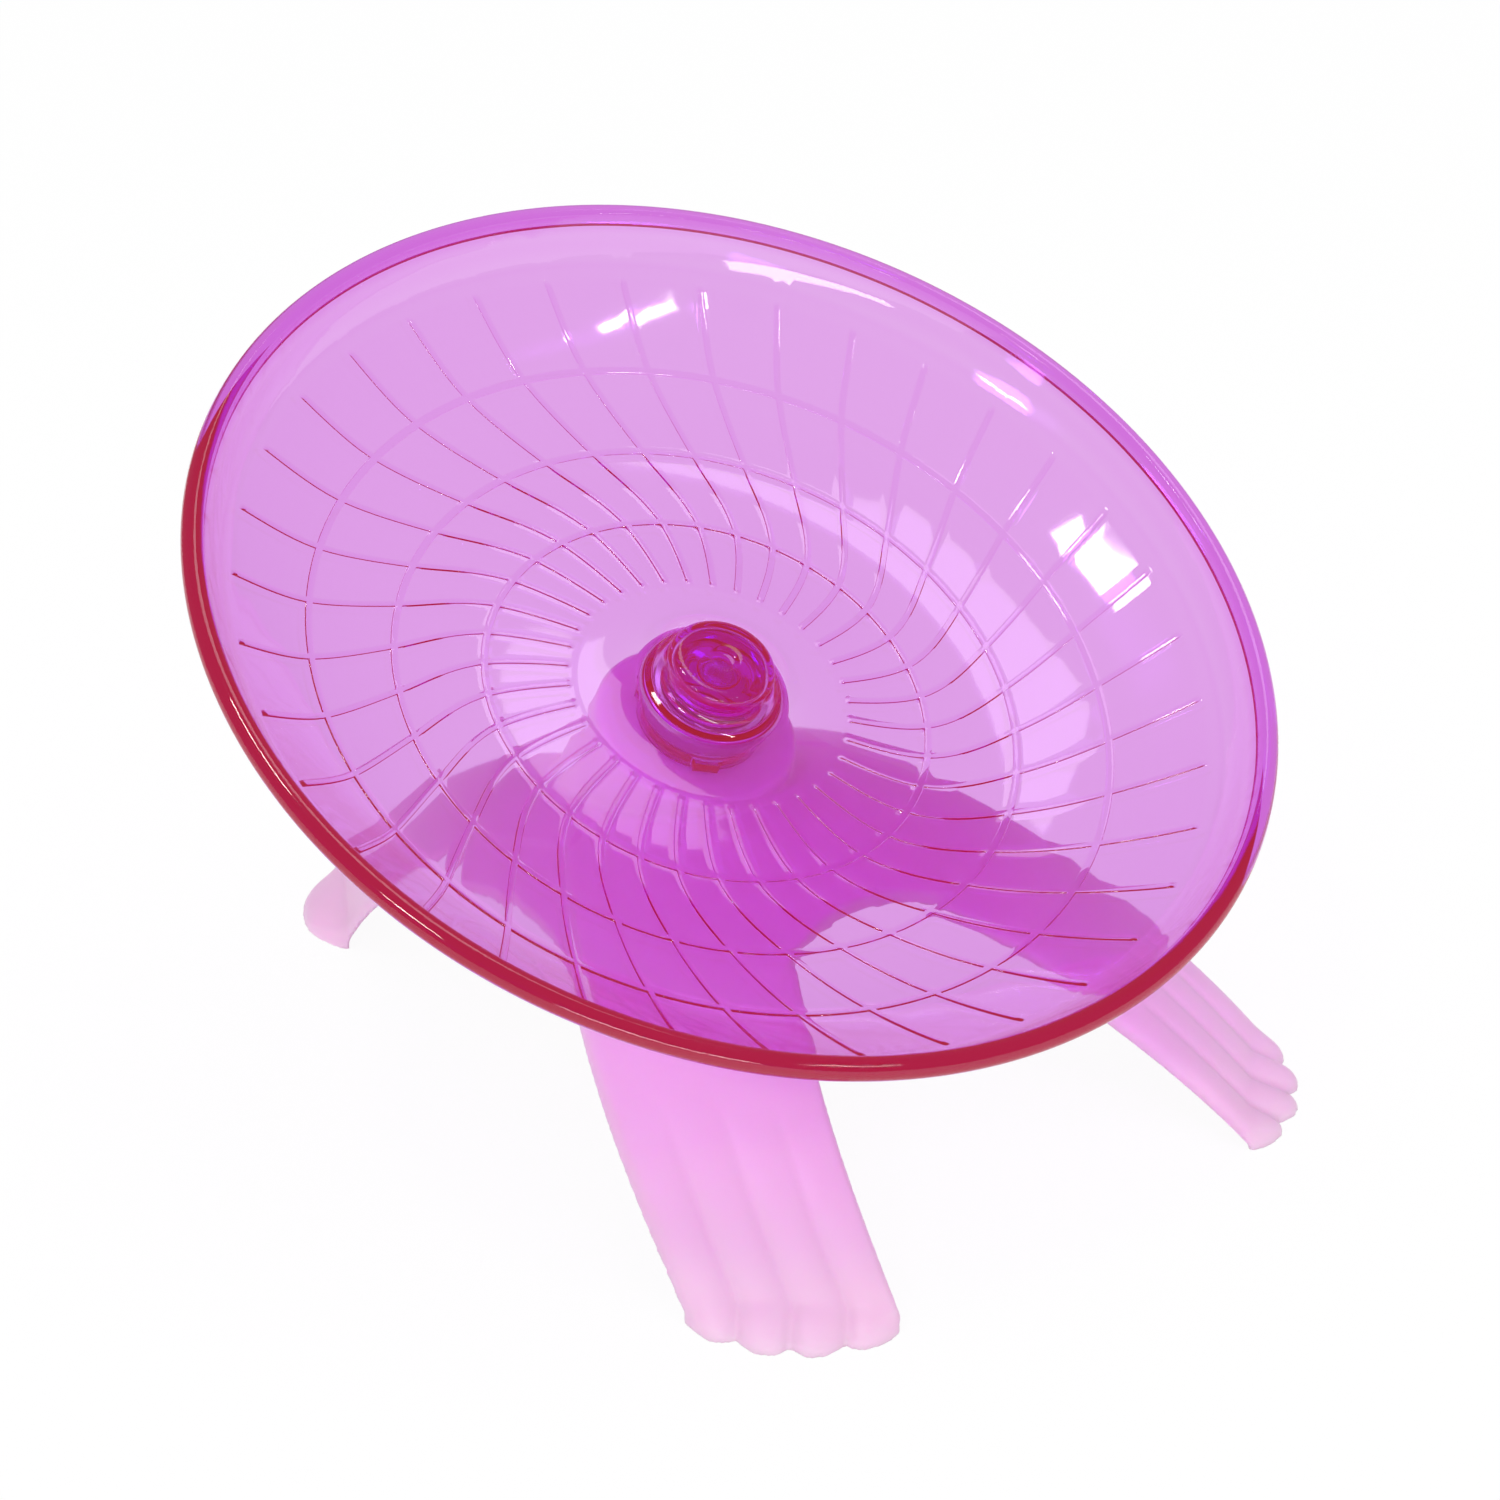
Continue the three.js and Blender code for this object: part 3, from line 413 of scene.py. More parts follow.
toe_path = through([(0, 1), (0.35, 0.8), (0.7, 0.57), (0.92, 0.35), (1.02, -0.1), (1.02, -0.5)], 5)


def leg_point(shape, side, share, v, reach, lift):
    """Point of a leg's upper face, and how far its rounded side edge draws it in there.
    Share runs down the leg, v from -1 to 1 across it, and reach over the toes"""
    root, bend, foot = (Vector((x * side, y, z)) for x, y, z in shape["path"])
    centre = root * (1 - share) ** 2 + bend * 2 * share * (1 - share) + foot * share**2
    heading = (bend - root) * (1 - share) + (foot - bend) * share
    turn = math.radians(shape["turns"][0] * (1 - share) + shape["turns"][1] * share) * side
    heading = Matrix.Rotation(turn, 3, "Z") @ Vector((heading.x, heading.y, 0)).normalized()
    across = Vector((-heading.y, heading.x, 0))
    half = 0 if share < 0.5 else 1
    widths = shape["widths"]
    width = widths[half] + (widths[half + 1] - widths[half]) * (share * 2 - half)
    flute = ease((share - FLUTES_FROM) / (1 - FLUTES_FROM))
    front = shape is LEGS["front"]
    toe = math.sqrt(abs(math.sin(math.pi * TOES * (v + 1) / 2))) if front else 1
    toes = TOE_REACH * (TOE_ARC * (1 - v * v) + (1 - TOE_ARC) * toe)
    heel = HEEL_REACH * (1 - abs(v) ** HEEL_POWER)
    out = reach * (toes if front else heel)
    drop = CROWN * v * v * (1 - flute) + TOE_GROOVE * (1 - toe) * flute
    spot = centre + across * v * width / 2 + heading * out
    spot.z = centre.z * lift - drop
    inset = max(EDGE - (1 - abs(v)) * width / 2, 0)
    return spot, EDGE - math.sqrt(EDGE**2 - inset**2)


def leg(name, shape, side):
    down, over, across = 60, len(toe_path) - 1, 48
    loop = 2 * across + 2
    start()
    bpy.ops.mesh.primitive_grid_add(x_subdivisions=loop, y_subdivisions=down + over, size=1)
    obj = bpy.context.object
    obj.name = obj.data.name = name
    for vertex in obj.data.vertices:
        column = round((vertex.co.x + 0.5) * loop) % loop
        row = round((vertex.co.y + 0.5) * (down + over))
        v = math.sin((2 * min(column, loop - 1 - column) / across - 1) * math.pi / 2)
        spot, edge = leg_point(shape, side, min(row / down, 1), v, *toe_path[max(row - down, 0)])
        spot.z -= edge
        if column > across:
            spot.z = spot.z - SHELL + 2 * edge if row <= down else BELOW
        if row == down + over:
            spot.z = BELOW
        vertex.co = spot * MM
    weld(obj)
    bpy.ops.object.mode_set(mode="EDIT")
    bpy.ops.mesh.select_all(action="SELECT")
    bpy.ops.mesh.fill_holes(sides=0)
    bpy.ops.object.mode_set(mode="OBJECT")
    weld(obj)
    slice_off(obj, SLICE)
    weld(obj)
    return obj


legs = [leg(f"{end}_leg_{side}", LEGS[end], side) for end in LEGS for side in (1, -1)]
for each in legs:
    report(each)

# %% [markdown]
# ## The dome
# A low dome joins the legs, and its edge is arched between each two of them. It is turned as a
# closed shell, upright cylinders cut the four arches out of it, and a bevel rounds its edges.

# %% Dome with its arched edge
DOME_RADIUS, DOME_TOP, DOME_DROP, DOME_FORWARD = 46.0, 40.0, 12.5, 3
shares = [i / 24 for i in range(25)]
over = [(DOME_RADIUS * share, DOME_TOP - DOME_DROP * share**2) for share in shares]
inside = [(r, h - SHELL) for r, h in reversed(over)]
dome = turned("dome", over + inside, place=Matrix.Translation((0, -DOME_FORWARD * MM, 0)))


def pillar(name, radius, x, y, bottom, top, place=UPRIGHT):
    start()
    bpy.ops.mesh.primitive_cylinder_add(vertices=160, radius=radius * MM, depth=(top - bottom) * MM)
    obj = bpy.context.object
    obj.name = obj.data.name = name
    obj.data.transform(place @ Matrix.Translation(Vector((x, y, (top + bottom) / 2)) * MM))
    return obj


arches = [("side_arch_1", 48, 88, 0), ("side_arch_2", 48, -88, 0)]  # name, radius and middle
arches += [("front_arch", 34, 0, -70), ("back_arch", 60, 0, 93)]
combine(dome, [pillar(*a, 0, DOME_TOP + 5) for a in arches], "DIFFERENCE")
round_edges(dome, 1.2, 4)
report(dome)

# %% [markdown]
# ## One smooth moulding
# The real stand has no sharp lines where the legs leave the dome, because it is one moulding with a
# soft fillet everywhere. Drawing those fillets by hand is slow. The shapes are united, and Remesh
# wraps them in one new skin of even cells. Its cells leave small steps along the edges, so
# Shrinkwrap lays the skin back on the shapes as drawn, and Smooth then melts the corners a little.

# %% Join the dome, legs and pedestal
PEDESTAL_RADIUS, PEDESTAL_FOOT, PEDESTAL_FLARE, PEDESTAL_EDGE = 17.3, -30.0, 2.4, 1.2
HEM_HEIGHT = 30.5  # the pedestal ends level here, inside the dome
CELL = 0.66 * MM  # of the new skin
on_stand = STAND.inverted() @ LEAN
pedestal_side = [(0, PEDESTAL_FOOT), (PEDESTAL_RADIUS + PEDESTAL_FLARE, PEDESTAL_FOOT)]
pedestal_side += arc(PEDESTAL_RADIUS - PEDESTAL_EDGE, -PEDESTAL_EDGE, PEDESTAL_EDGE, 0, 90, 5) + [(0, 0)]
pedestal = turned("pedestal", pedestal_side, place=on_stand)
slice_off(pedestal, HEM_HEIGHT)
combine(dome, [pedestal, *legs], "UNION")
stand = dome
stand.name = stand.data.name = "paw_foot_stand"
report(stand)
drawn = stand.copy()
drawn.data = stand.data.copy()
bpy.context.collection.objects.link(drawn)
modify(stand, "REMESH", mode="VOXEL", voxel_size=CELL)
modify(stand, "SMOOTH", factor=0.5, iterations=8)
modify(stand, "SHRINKWRAP", target=drawn, wrap_method="NEAREST_SURFACEPOINT")
modify(stand, "SMOOTH", factor=0.5, iterations=3)
bpy.data.objects.remove(drawn, do_unlink=True)
report(stand)

# %% [markdown]
# ## Hollow, boss and flat soles
# Underneath, the pedestal is hollow and a thick boss holds the spindle. These are cut and added
# after the smoothing, so that the edges of the bore stay crisp. Last, everything below the table
# is sliced away, which gives each foot a flat sole to stand on.

# %% Finish the stand
PEDESTAL_WALL, BOSS_RADIUS, BOSS_FOOT, SPINDLE_BORE = 2.4, 6.5, -15, 3.3
hollow = [(0, PEDESTAL_FOOT - 1), (PEDESTAL_RADIUS, PEDESTAL_FOOT - 1)]
hollow += [(PEDESTAL_RADIUS - PEDESTAL_WALL, -PEDESTAL_WALL), (0, -PEDESTAL_WALL)]
combine(stand, [turned("pedestal_hollow", hollow, place=on_stand)], "DIFFERENCE")
boss = pillar("spindle_boss", BOSS_RADIUS, 0, 0, BOSS_FOOT, -PEDESTAL_WALL / 2, on_stand)
combine(stand, [boss], "UNION")
bore = pillar("spindle_bore", SPINDLE_BORE, 0, 0, BOSS_FOOT - 1, 1, on_stand)
combine(stand, [bore], "DIFFERENCE")
slice_off(stand, 0)
stand.data.transform(STAND)
smooth(stand, 50)
report(stand)

# %% [markdown]
# ## The ball bearing
# A small sealed bearing is two ground rings with a groove each, seven balls in a pressed brass
# cage, and a thin steel shield on each face. All of it is turned, apart from the balls and the
# cage. It is only glimpsed through the tinted hub, but a clear part shows what is inside it.

# %% Races and shields
BALL_LEVEL, BALL_CIRCLE, BALL, BALLS = 5.9, 6.25, 1.6, 7
GROOVE, GROOVE_DEG = 1.9, 48.9  # radius of the grooves, and half the arc that they cover
LAND_IN, LAND_OUT, HALF_WIDTH = 5.0, 7.5, 3.0


def bearing_outline(points):
    return [(r, BALL_LEVEL + h) for r, h in points]


groove_in = arc(BALL_CIRCLE, 0, GROOVE, 180 + GROOVE_DEG, 180 - GROOVE_DEG, 10)
groove_out = arc(BALL_CIRCLE, 0, GROOVE, GROOVE_DEG, -GROOVE_DEG, 10)
inner_race = turned("ground_inner_race", bearing_outline([
    (3.5, HALF_WIDTH), (3.3, 2.8), (3.3, -2.8), (3.5, -HALF_WIDTH), (4.8, -HALF_WIDTH),
    (LAND_IN, -2.8), *groove_in, (LAND_IN, 2.8), (4.8, HALF_WIDTH)]))
outer_race = turned("ground_outer_race", bearing_outline([
    (9.2, -HALF_WIDTH), (9.5, -2.7), (9.5, 2.7), (9.2, HALF_WIDTH), (7.8, HALF_WIDTH), (7.8, 2.25),
    (LAND_OUT, 2.25), *groove_out, (LAND_OUT, -2.25), (7.8, -2.25), (7.8, -HALF_WIDTH)]))
shield_section = [(5.3, 2.55), (LAND_OUT, 2.55), (LAND_OUT, 2.85), (6.9, 2.85), (6.6, 2.75), (5.3, 2.75)]
shields = [
    turned(f"pressed_shield_{name}", bearing_outline([(r, side * h) for r, h in shield_section]))
    for name, side in (("upper", 1), ("lower", -1))
]
for piece in [inner_race, outer_race, *shields]:
    smooth(piece)
    report(piece)

# %% [markdown]
# ## Balls
# A ball from a cube that is subdivided and blown up to a sphere has even faces and no pinched
# poles, which shows in polished steel. One is made, then copied six times round the ball circle.

# %% Seven balls
start()
bpy.ops.mesh.primitive_cube_add(size=2 * BALL * MM)
first = bpy.context.object
bpy.ops.object.mode_set(mode="EDIT")
bpy.ops.mesh.select_all(action="SELECT")
bpy.ops.mesh.subdivide(number_cuts=9)
bpy.ops.object.mode_set(mode="OBJECT")
for vertex in first.data.vertices:
    vertex.co = vertex.co.normalized() * BALL * MM
smooth(first, 60)
balls = []
for i in range(BALLS):
    ball = first.copy()
    ball.data = first.data.copy()
    bpy.context.collection.objects.link(ball)
    ball.name = ball.data.name = f"polished_ball_{i + 1}"
    angle = math.tau * i / BALLS
    spot = Vector((BALL_CIRCLE * math.cos(angle), BALL_CIRCLE * math.sin(angle), BALL_LEVEL)) * MM
    ball.data.transform(LEAN @ Matrix.Translation(spot))
    balls.append(ball)
bpy.data.objects.remove(first, do_unlink=True)
print(len(balls), "balls")

# %% [markdown]
# ## The cage
# The cage is two brass strips, pressed so that each bulges over the balls and lies flat between
# them. A grid is bent into a ring whose height follows the balls, and Solidify gives it the
# thickness of the sheet. The second half is the first one turned over.

# %% Two halves of the cage
CAGE_INNER, CAGE_WIDTH, CAGE_SHEET = 5.55, 1.4, 0.25
CAGE_FLAT, CAGE_POCKET = 0.16, 1.75  # the strip's height between balls, and its radius over one


def cage_half(name, up):
    start()
    bpy.ops.mesh.primitive_grid_add(x_subdivisions=24 * BALLS, y_subdivisions=6, size=1)
    obj = bpy.context.object
    obj.name = obj.data.name = name
    for vertex in obj.data.vertices:
        angle = (vertex.co.x + 0.5) * math.tau
        radius = CAGE_INNER + CAGE_WIDTH * (vertex.co.y + 0.5)
        near = (angle + math.pi / BALLS) % (math.tau / BALLS) - math.pi / BALLS
        distance = math.hypot(near * radius, radius - BALL_CIRCLE)
        pocket = math.sqrt(max(CAGE_POCKET**2 - distance**2, 0))
        height = BALL_LEVEL + up * max(CAGE_FLAT, pocket)
        vertex.co = Vector((radius * math.cos(angle), radius * math.sin(angle), height)) * MM
    weld(obj)
    if up < 0:
        bpy.ops.object.mode_set(mode="EDIT")
        bpy.ops.mesh.select_all(action="SELECT")
        bpy.ops.mesh.flip_normals()
        bpy.ops.object.mode_set(mode="OBJECT")
    modify(obj, "SOLIDIFY", thickness=CAGE_SHEET * MM, offset=1)
    obj.data.transform(LEAN)
    smooth(obj, 50)
    report(obj)
    return obj


cages = [cage_half("pressed_cage_upper", 1), cage_half("pressed_cage_lower", -1)]

# %% [markdown]
# ## Spindle, clip, washer and screw
# The spindle is a turned steel pin: a collar for the bearing to sit on, a groove for the clip and
# a threaded hole in its foot. The clip is a turned ring that stops short of closing. Two crossed
# boxes cut the screw's cross, as a punch would press it.

# %% Spindle and its fasteners
PIN, THREAD, SHANK = 3.0, 1.8, 1.5  # radii of the spindle, of its threaded hole and of the screw
CLIP_SWEEP = 285  # degrees
spindle = turned("turned_spindle", [
    (0, -4), (THREAD, -4), (THREAD, -13), (PIN - 0.2, -13), (PIN, -12.8), (PIN, 0.3), (4.5, 0.3),
    (4.7, 0.5), (4.7, 2.4), (4.5, 2.6), (PIN, 2.6), (PIN, 9.2), (2.4, 9.2), (2.4, 10.5), (PIN, 10.5),
    (PIN, 10.7), (2.5, 11.2), (0, 11.2)])
clip_section = [(2.7, 9.58), (2.78, 9.5), (4.9, 9.5), (5, 9.6)]
clip_section += [(5, 10.1), (4.9, 10.2), (2.78, 10.2), (2.7, 10.12)]
clip_turn = Matrix.Rotation(math.radians((360 - CLIP_SWEEP) / 2), 4, "Z")
clip = turned("snap_clip", clip_section, 72, CLIP_SWEEP, LEAN @ clip_turn)
washer = turned("flat_washer", [
    (1.8, -15.4), (1.9, -15.3), (4.7, -15.3), (4.8, -15.4),
    (4.8, -16), (4.7, -16.1), (1.9, -16.1), (1.8, -16)])
head_edge = through([(2.6, -18.2), (2.88, -17.9), (3, -17.5)], 3)
screw = turned("cross_head_screw", [
    (0, -18.3), (2.25, -18.3), *head_edge, (3, -16.5), (2.9, -16.4),
    (SHANK, -16.4), (SHANK, -7), (0, -5.5)], place=UPRIGHT)
cross = [lug_box(f"cross_{i}", 0.8, -1.8, 1.8, -18.6, -17.35, i * math.pi / 2) for i in range(2)]
combine(screw, cross, "DIFFERENCE")
screw.data.transform(LEAN)
for piece in (spindle, clip, washer, screw):
    smooth(piece)
    report(piece)

# %% [markdown]
# ## Colours and a node helper
# Colours are read off as ordinary screen values, but a shader counts in linear light, so one
# function turns the first into the second. One more adds a node with its settings and links, and
# two small ones give a pattern that sticks to the object and a bump of a depth in millimetres. A
# pattern's Scale counts waves in a metre, so each is written as one over its real size.

# %% Helpers for materials
def colour(code):
    shares = [int(code[i:i + 2], 16) / 255 for i in (1, 3, 5)]
    return (*[c / 12.92 if c <= 0.04045 else ((c + 0.055) / 1.055) ** 2.4 for c in shares], 1.0)


def node(tree, kind, links=(), **settings):
    """Adds a node. Settings are its properties or its sockets, links are (socket, output) pairs."""
    made = tree.nodes.new(kind)
    for key, value in settings.items():
        if hasattr(made, key):
            setattr(made, key, value)
        else:
            made.inputs[key.replace("_", " ")].default_value = value
    for socket, output in links:
        tree.links.new(output, made.inputs[socket])
    return made


def noise(tree, size_mm, detail, vector=None):
    vector = vector or node(tree, "ShaderNodeTexCoord").outputs["Object"]
    links = [("Vector", vector)]
    return node(tree, "ShaderNodeTexNoise", links, Scale=1 / (size_mm * MM), Detail=detail).outputs[0]


def relief(tree, height, strength, depth_mm):
    links = [("Height", height)]
    return node(tree, "ShaderNodeBump", links, Strength=strength, Distance=depth_mm * MM).outputs[0]


def material(name):
    made = bpy.data.materials.new(name)
    made.use_nodes = True
    made.node_tree.nodes.clear()
    return made, made.node_tree, made.node_tree.nodes.new("ShaderNodeOutputMaterial")


print("mid grey in linear light:", round(colour("#808080")[0], 3))

# %% [markdown]
# ## Tinted clear polystyrene
# The saucer is crystal polystyrene with a magenta dye, moulded and glossy. The dye lives in the
# plastic, so a thin wall looks lilac and the thick hub and rim look crimson: the tint is a volume
# that absorbs along the path of the light, which a coloured surface couldn't do. A red glow inside
# is painted light that no lamp feeds, and keeps the thickest places crimson, not black. A shadow
# ray passes a clear surface, so that lamps light the stand through the saucer, tinted too.

# %% Clear plastic of the saucer
clear_plastic, tree, output = material("moulded_magenta_polystyrene")
flow = noise(tree, 50 / 3, 2.0)  # slow waves that a moulded wall has where it sinks as it cools
sink = relief(tree, flow, 0.4, 0.1)
skin = node(tree, "ShaderNodeBsdfPrincipled", [("Normal", sink)], Roughness=0.05, IOR=1.57)
skin.inputs["Base Color"].default_value = (1, 1, 1, 1)
skin.inputs["Transmission Weight"].default_value = 1.0
bare = node(tree, "ShaderNodeBsdfTransparent")
bare.inputs["Color"].default_value = (1, 0.66, 1, 1)
path = node(tree, "ShaderNodeLightPath")
mix = node(tree, "ShaderNodeMixShader",
           [(0, path.outputs["Is Shadow Ray"]), (1, skin.outputs[0]), (2, bare.outputs[0])])
dye = node(tree, "ShaderNodeVolumeAbsorption", Density=500.0)
dye.inputs["Color"].default_value = (0.54, 0.08, 0.84, 1)
# Painted light: a red glow inside the plastic that no lamp feeds, keeping the thickest places crimson
painted_red_glow = node(tree, "ShaderNodeEmission", Strength=100.0)
painted_red_glow.inputs["Color"].default_value = (1, 0.02, 0.04, 1)
inside = node(tree, "ShaderNodeAddShader", [(0, dye.outputs[0]), (1, painted_red_glow.outputs[0])])
tree.links.new(mix.outputs[0], output.inputs["Surface"])
tree.links.new(inside.outputs[0], output.inputs["Volume"])

# %% [markdown]
# ## Frosted polypropylene
# The stand is polypropylene with a little of the same dye, moulded against an etched tool. Light
# goes into it and scatters, so its shadows are soft and pink. A fine grain breaks up the gloss.

# %% Frosted plastic of the stand
frosted_plastic, tree, output = material("etched_pink_polypropylene")
grain = noise(tree, 0.4, 1.0)  # the etched skin of the tool
cloud = noise(tree, 200 / 9, 2.0)  # slow clouding of the dye
tint = node(tree, "ShaderNodeMix", [("Factor", cloud)], data_type="RGBA")
tint.inputs["A"].default_value = colour("#F0C2E1")
tint.inputs["B"].default_value = colour("#F5CDE9")
etch = relief(tree, grain, 0.15, 0.05)
gloss = node(tree, "ShaderNodeMapRange", [("Value", cloud)])
gloss.inputs["To Min"].default_value, gloss.inputs["To Max"].default_value = 0.36, 0.46
links = [("Base Color", tint.outputs["Result"]), ("Normal", etch), ("Roughness", gloss.outputs[0])]
skin = node(tree, "ShaderNodeBsdfPrincipled", links, IOR=1.49)
skin.inputs["Transmission Weight"].default_value = 0.12
skin.inputs["Subsurface Weight"].default_value = 0.35
skin.inputs["Subsurface Radius"].default_value = (1.0, 0.45, 0.8)
skin.inputs["Subsurface Scale"].default_value = 4 * MM
tree.links.new(skin.outputs[0], output.inputs["Surface"])

# %% [markdown]
# ## Steel and brass
# The spindle is turned steel, so fine rings run round it. The races and balls are ground and
# polished, and the brass cage is dull from the press. A metal's colour is its reflection, so only
# the roughness and a trace of tooling tell these apart.

# %% Metals
def metal(name, tone, low, high, ring_pitch=None):
    made, tree, output = material(name)
    place = node(tree, "ShaderNodeTexCoord")
    upright = node(tree, "ShaderNodeMapping", [("Vector", place.outputs["Object"])])
    upright.inputs["Rotation"].default_value = (-TILT, 0, 0)
    speck = noise(tree, 10 / 9, 2.0, upright.outputs[0])
    gloss = node(tree, "ShaderNodeMapRange", [("Value", speck)])
    gloss.inputs["To Min"].default_value, gloss.inputs["To Max"].default_value = low, high
    skin = node(tree, "ShaderNodeBsdfPrincipled", [("Roughness", gloss.outputs[0])], Metallic=1.0)
    skin.inputs["Base Color"].default_value = colour(tone)
    if ring_pitch:
        # A Wave texture of scale 1 has 20 waves in tau, and 0.3 mm is coarser than real tool marks,
        # which would be too fine to see
        links = [("Vector", upright.outputs[0])]
        wave = node(tree, "ShaderNodeTexWave", links, bands_direction="Z",
                    Scale=math.tau / (20 * ring_pitch * MM))
        tree.links.new(relief(tree, wave.outputs[0], 0.2, 0.02), skin.inputs["Normal"])
    tree.links.new(skin.outputs[0], output.inputs["Surface"])
    return made


turned_steel = metal("turned_steel", "#C2C4C8", 0.22, 0.34, ring_pitch=0.3)
bearing_steel = metal("ground_bearing_steel", "#CDCED1", 0.1, 0.18)
zinc_steel = metal("zinc_plated_steel", "#C9CBCF", 0.25, 0.4)
brass = metal("pressed_brass", "#D2AE62", 0.3, 0.42)
print("metals:", [m.name for m in (turned_steel, bearing_steel, zinc_steel, brass)])

# %% [markdown]
# ## Pieces on their bodies
# Every piece rides on the CAD body that moves it, takes one of the materials made above and stands
# in for its node, so that the motion stays the CAD model's.

# %% Dress the frame
dressing = [
    (saucer, "saucer", "saucer_clear_plastic", clear_plastic, ["saucer"]),
    (bayonet, "saucer", "saucer_clear_plastic", clear_plastic, ["bayonet_ring"]),
    (outer_race, "saucer", "bearing_steel", bearing_steel, ["bearing_outer_race"]),
    (shields[0], "saucer", "bearing_steel", bearing_steel, ["bearing_shield_upper"]),
    (shields[1], "saucer", "bearing_steel", bearing_steel, ["bearing_shield_lower"]),
    (stand, "stand", "stand_frosted_plastic", frosted_plastic, ["stand"]),
    (spindle, "stand", "spindle_steel", turned_steel, ["spindle"]),
    (inner_race, "stand", "bearing_steel", bearing_steel, ["bearing_inner_race"]),
    (clip, "stand", "spindle_steel", zinc_steel, ["retaining_clip"]),
    (washer, "stand", "spindle_steel", zinc_steel, ["screw_washer"]),
    (screw, "stand", "spindle_steel", zinc_steel, ["spindle_screw"]),
    (cages[0], "cage", "cage_brass", brass, ["ball_cage_upper"]),
    (cages[1], "cage", "cage_brass", brass, ["ball_cage_lower"]),
]
dressing += [
    (ball, "cage", "bearing_steel", bearing_steel, [f"ball_{i}"]) for i, ball in enumerate(balls, 1)
]
for piece, body, slot, finish, nodes in dressing:
    piece.data.materials.clear()
    piece.data.materials.append(finish)
    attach(piece, body)
    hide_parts(*nodes)
print(len(dressing), "pieces")

# %% [markdown]
# ## Floor and daylight
# The photograph was taken on white. The camera, and rays that have passed the plastic or come off
# its gloss, see mostly a plain white of strength 1 in place of the floor. The small rest is matt
# paper, which keeps the soft shadow. Beyond the floor the room is the same white, and it gives the
# object an even daylight, dimmer where it is only mirrored, so that the glints stand out.

# %% Floor and world
WHITE_SHARE, FLOOR_SIZE = 0.94, 12


def either(tree, first, second):
    return node(tree, "ShaderNodeMath", [(0, first), (1, second)], operation="MAXIMUM").outputs[0]


floor_white, tree, output = material("white_paper")
fibre = noise(tree, 10 / 3, 2.0)  # finer fibres of paper wouldn't show
tone = node(tree, "ShaderNodeMix", [("Factor", fibre)], data_type="RGBA")
tone.inputs["A"].default_value = colour("#F4F4F4")
tone.inputs["B"].default_value = colour("#FAFAFA")
paper = node(tree, "ShaderNodeBsdfDiffuse", [("Color", tone.outputs["Result"])])
glow = node(tree, "ShaderNodeEmission", Strength=1.0)
rays = node(tree, "ShaderNodeLightPath").outputs
seen = either(tree, rays["Is Camera Ray"], rays["Is Transmission Ray"])
seen = either(tree, seen, rays["Is Glossy Ray"])
share = node(tree, "ShaderNodeMath", [(0, seen)], operation="MULTIPLY")
share.inputs[1].default_value = WHITE_SHARE
links = [(0, share.outputs[0]), (1, paper.outputs[0]), (2, glow.outputs[0])]
mix = node(tree, "ShaderNodeMixShader", links)
tree.links.new(mix.outputs[0], output.inputs["Surface"])

start()
bpy.ops.mesh.primitive_plane_add(size=FLOOR_SIZE)
floor = bpy.context.object
floor.name = floor.data.name = "paper_floor"
floor.data.materials.append(floor_white)

world = bpy.data.worlds.new("studio")
bpy.context.scene.world = world
world.use_nodes = True
tree = world.node_tree
tree.nodes.clear()
rays = node(tree, "ShaderNodeLightPath").outputs
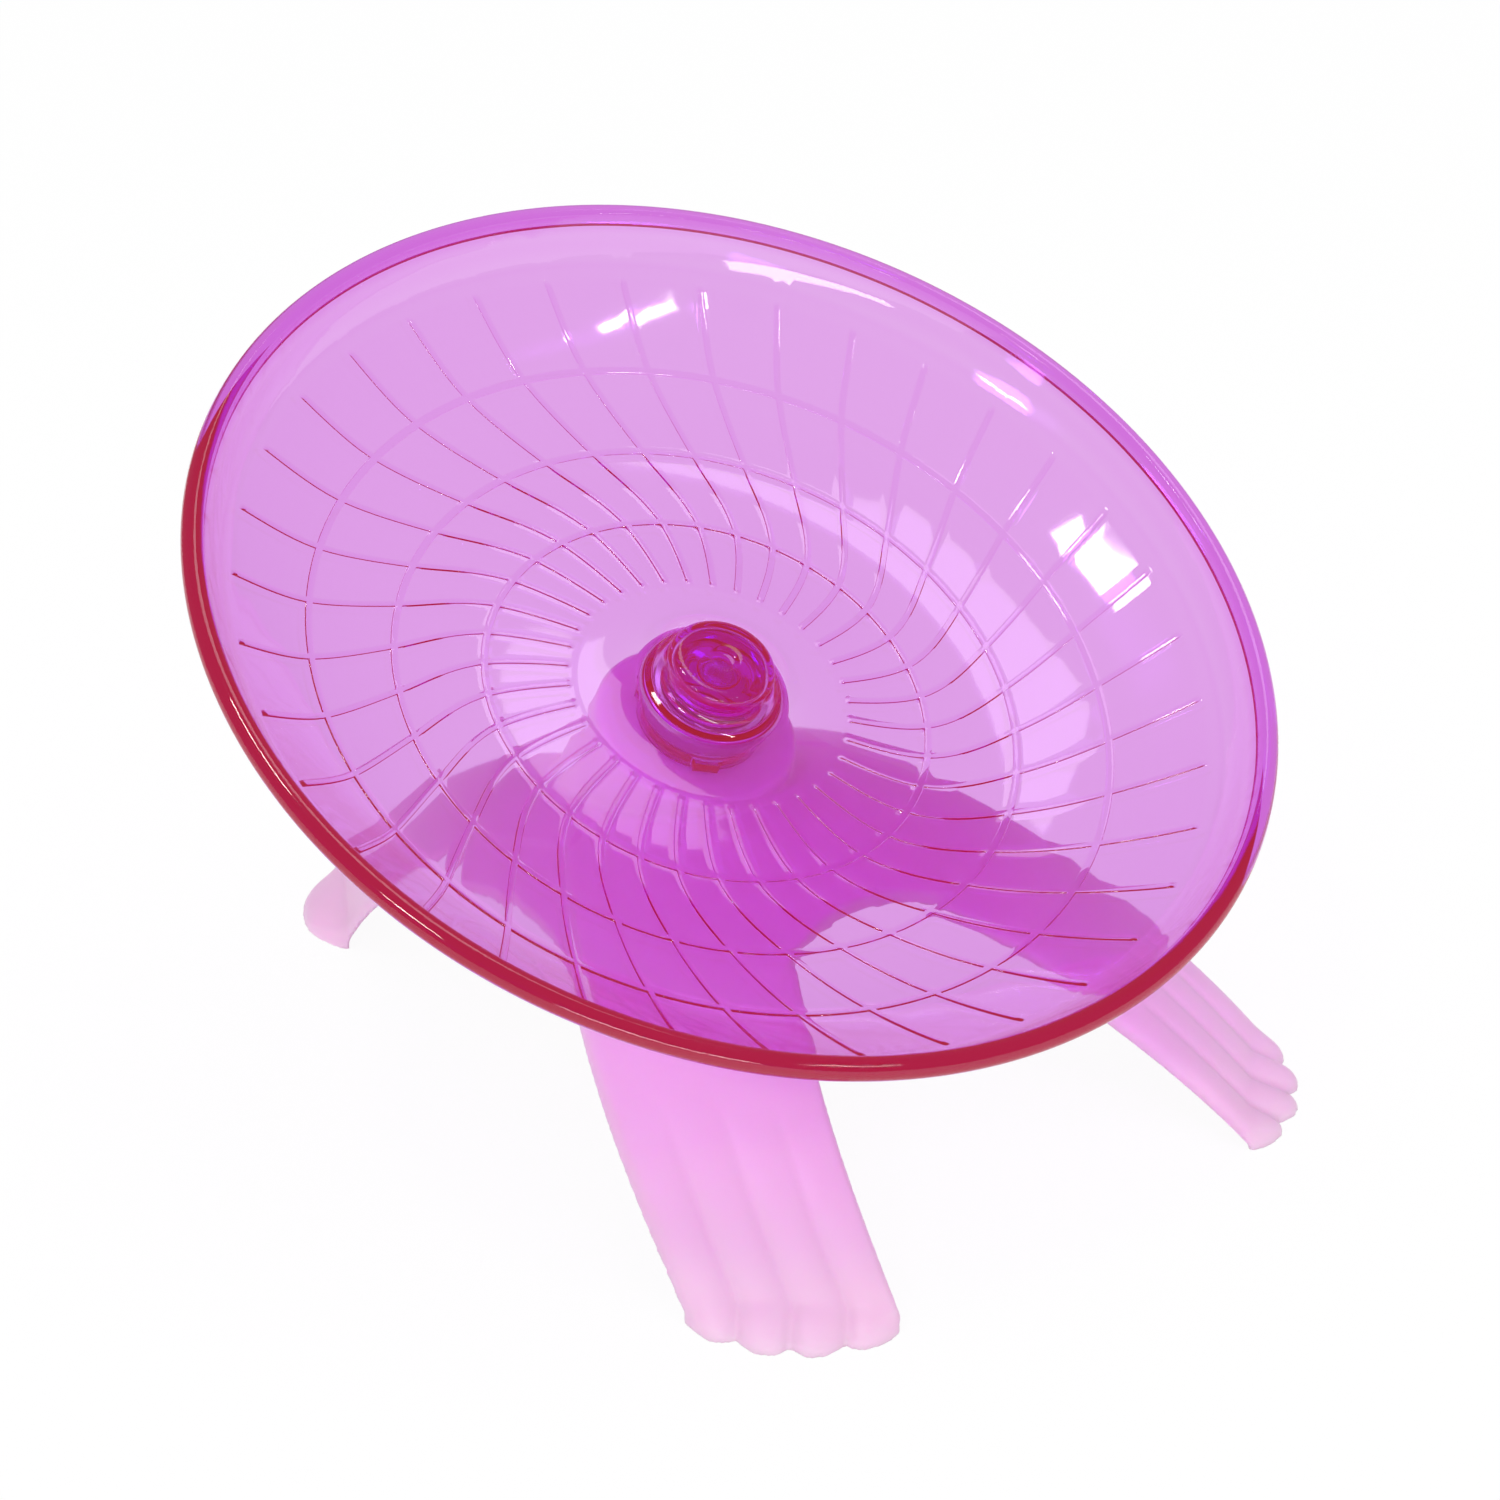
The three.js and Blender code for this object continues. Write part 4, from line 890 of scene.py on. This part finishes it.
# The light for the object keeps the node's own light grey, and only the white that is seen is white
soft = node(tree, "ShaderNodeBackground", Strength=1.0)
dim = node(tree, "ShaderNodeBackground", Strength=0.3)
white = node(tree, "ShaderNodeBackground", Strength=1.0)
white.inputs["Color"].default_value = (1, 1, 1, 1)
seen = either(tree, rays["Is Camera Ray"], rays["Is Transmission Ray"])
links = [(0, rays["Is Glossy Ray"]), (1, soft.outputs[0]), (2, dim.outputs[0])]
room = node(tree, "ShaderNodeMixShader", links)
mix = node(tree, "ShaderNodeMixShader", [(0, seen), (1, room.outputs[0]), (2, white.outputs[0])])
node(tree, "ShaderNodeOutputWorld", [("Surface", mix.outputs[0])])
print("floor and world ready")

# %% [markdown]
# ## Lamps
# Three small soft boxes stand where the window-like glints on the bowl say that they stood: in
# front, at the left and overhead. A long low box fills in from the front and gives the rim its
# light line, and a wide weak one overhead lays a pale veil on the bowl.

# %% Soft boxes
LAMP_DISTANCE, LAMP_AIM = 1.2, Vector((0, 0.01, 0.07))


def soft_box(name, towards, width, height, power):
    lamp = bpy.data.lights.new(name, "AREA")
    lamp.shape, lamp.size, lamp.size_y, lamp.energy = "RECTANGLE", width, height, power
    obj = bpy.data.objects.new(name, lamp)
    bpy.context.collection.objects.link(obj)
    towards = Vector(towards).normalized()
    obj.location = LAMP_AIM + towards * LAMP_DISTANCE
    obj.rotation_mode = "QUATERNION"
    obj.rotation_quaternion = (-towards).to_track_quat("-Z", "Y")
    return obj


# name, direction, width and height in metres, watts
soft_box("front_box", (0.17, -0.77, 0.62), 0.24, 0.03, 0.6)
soft_box("left_box", (-0.77, -0.32, 0.56), 0.22, 0.1, 1.5)
soft_box("top_box", (-0.3, 0.08, 0.94), 0.26, 0.12, 2.0)
soft_box("front_fill", (-0.5, -0.75, 0.1), 0.7, 0.12, 2.4)
soft_box("overhead", (0.3, 0.05, 0.93), 0.5, 0.4, 1.3)

# %% [markdown]
# ## The camera
# The camera stands where the photographer's did, worked out from the ellipse of the rim and the
# places of the feet.

# %% Camera
FOCAL, SENSOR = 88.464, 36  # mm
CAMERA_SPOT, CAMERA_AIM = Vector((-0.32615, -0.405444, 0.33887)), Vector((0.5481, 0.6816, -0.4848))
lens = bpy.data.cameras.new("camera")
lens.lens, lens.sensor_width = FOCAL, SENSOR
camera = bpy.data.objects.new("camera", lens)
bpy.context.collection.objects.link(camera)
camera.location = CAMERA_SPOT
camera.rotation_mode = "QUATERNION"
camera.rotation_quaternion = CAMERA_AIM.to_track_quat("-Z", "Y")
lens.clip_start, lens.clip_end = 0.01, 50
bpy.context.scene.camera = camera
bpy.context.scene.view_settings.view_transform = "Standard"
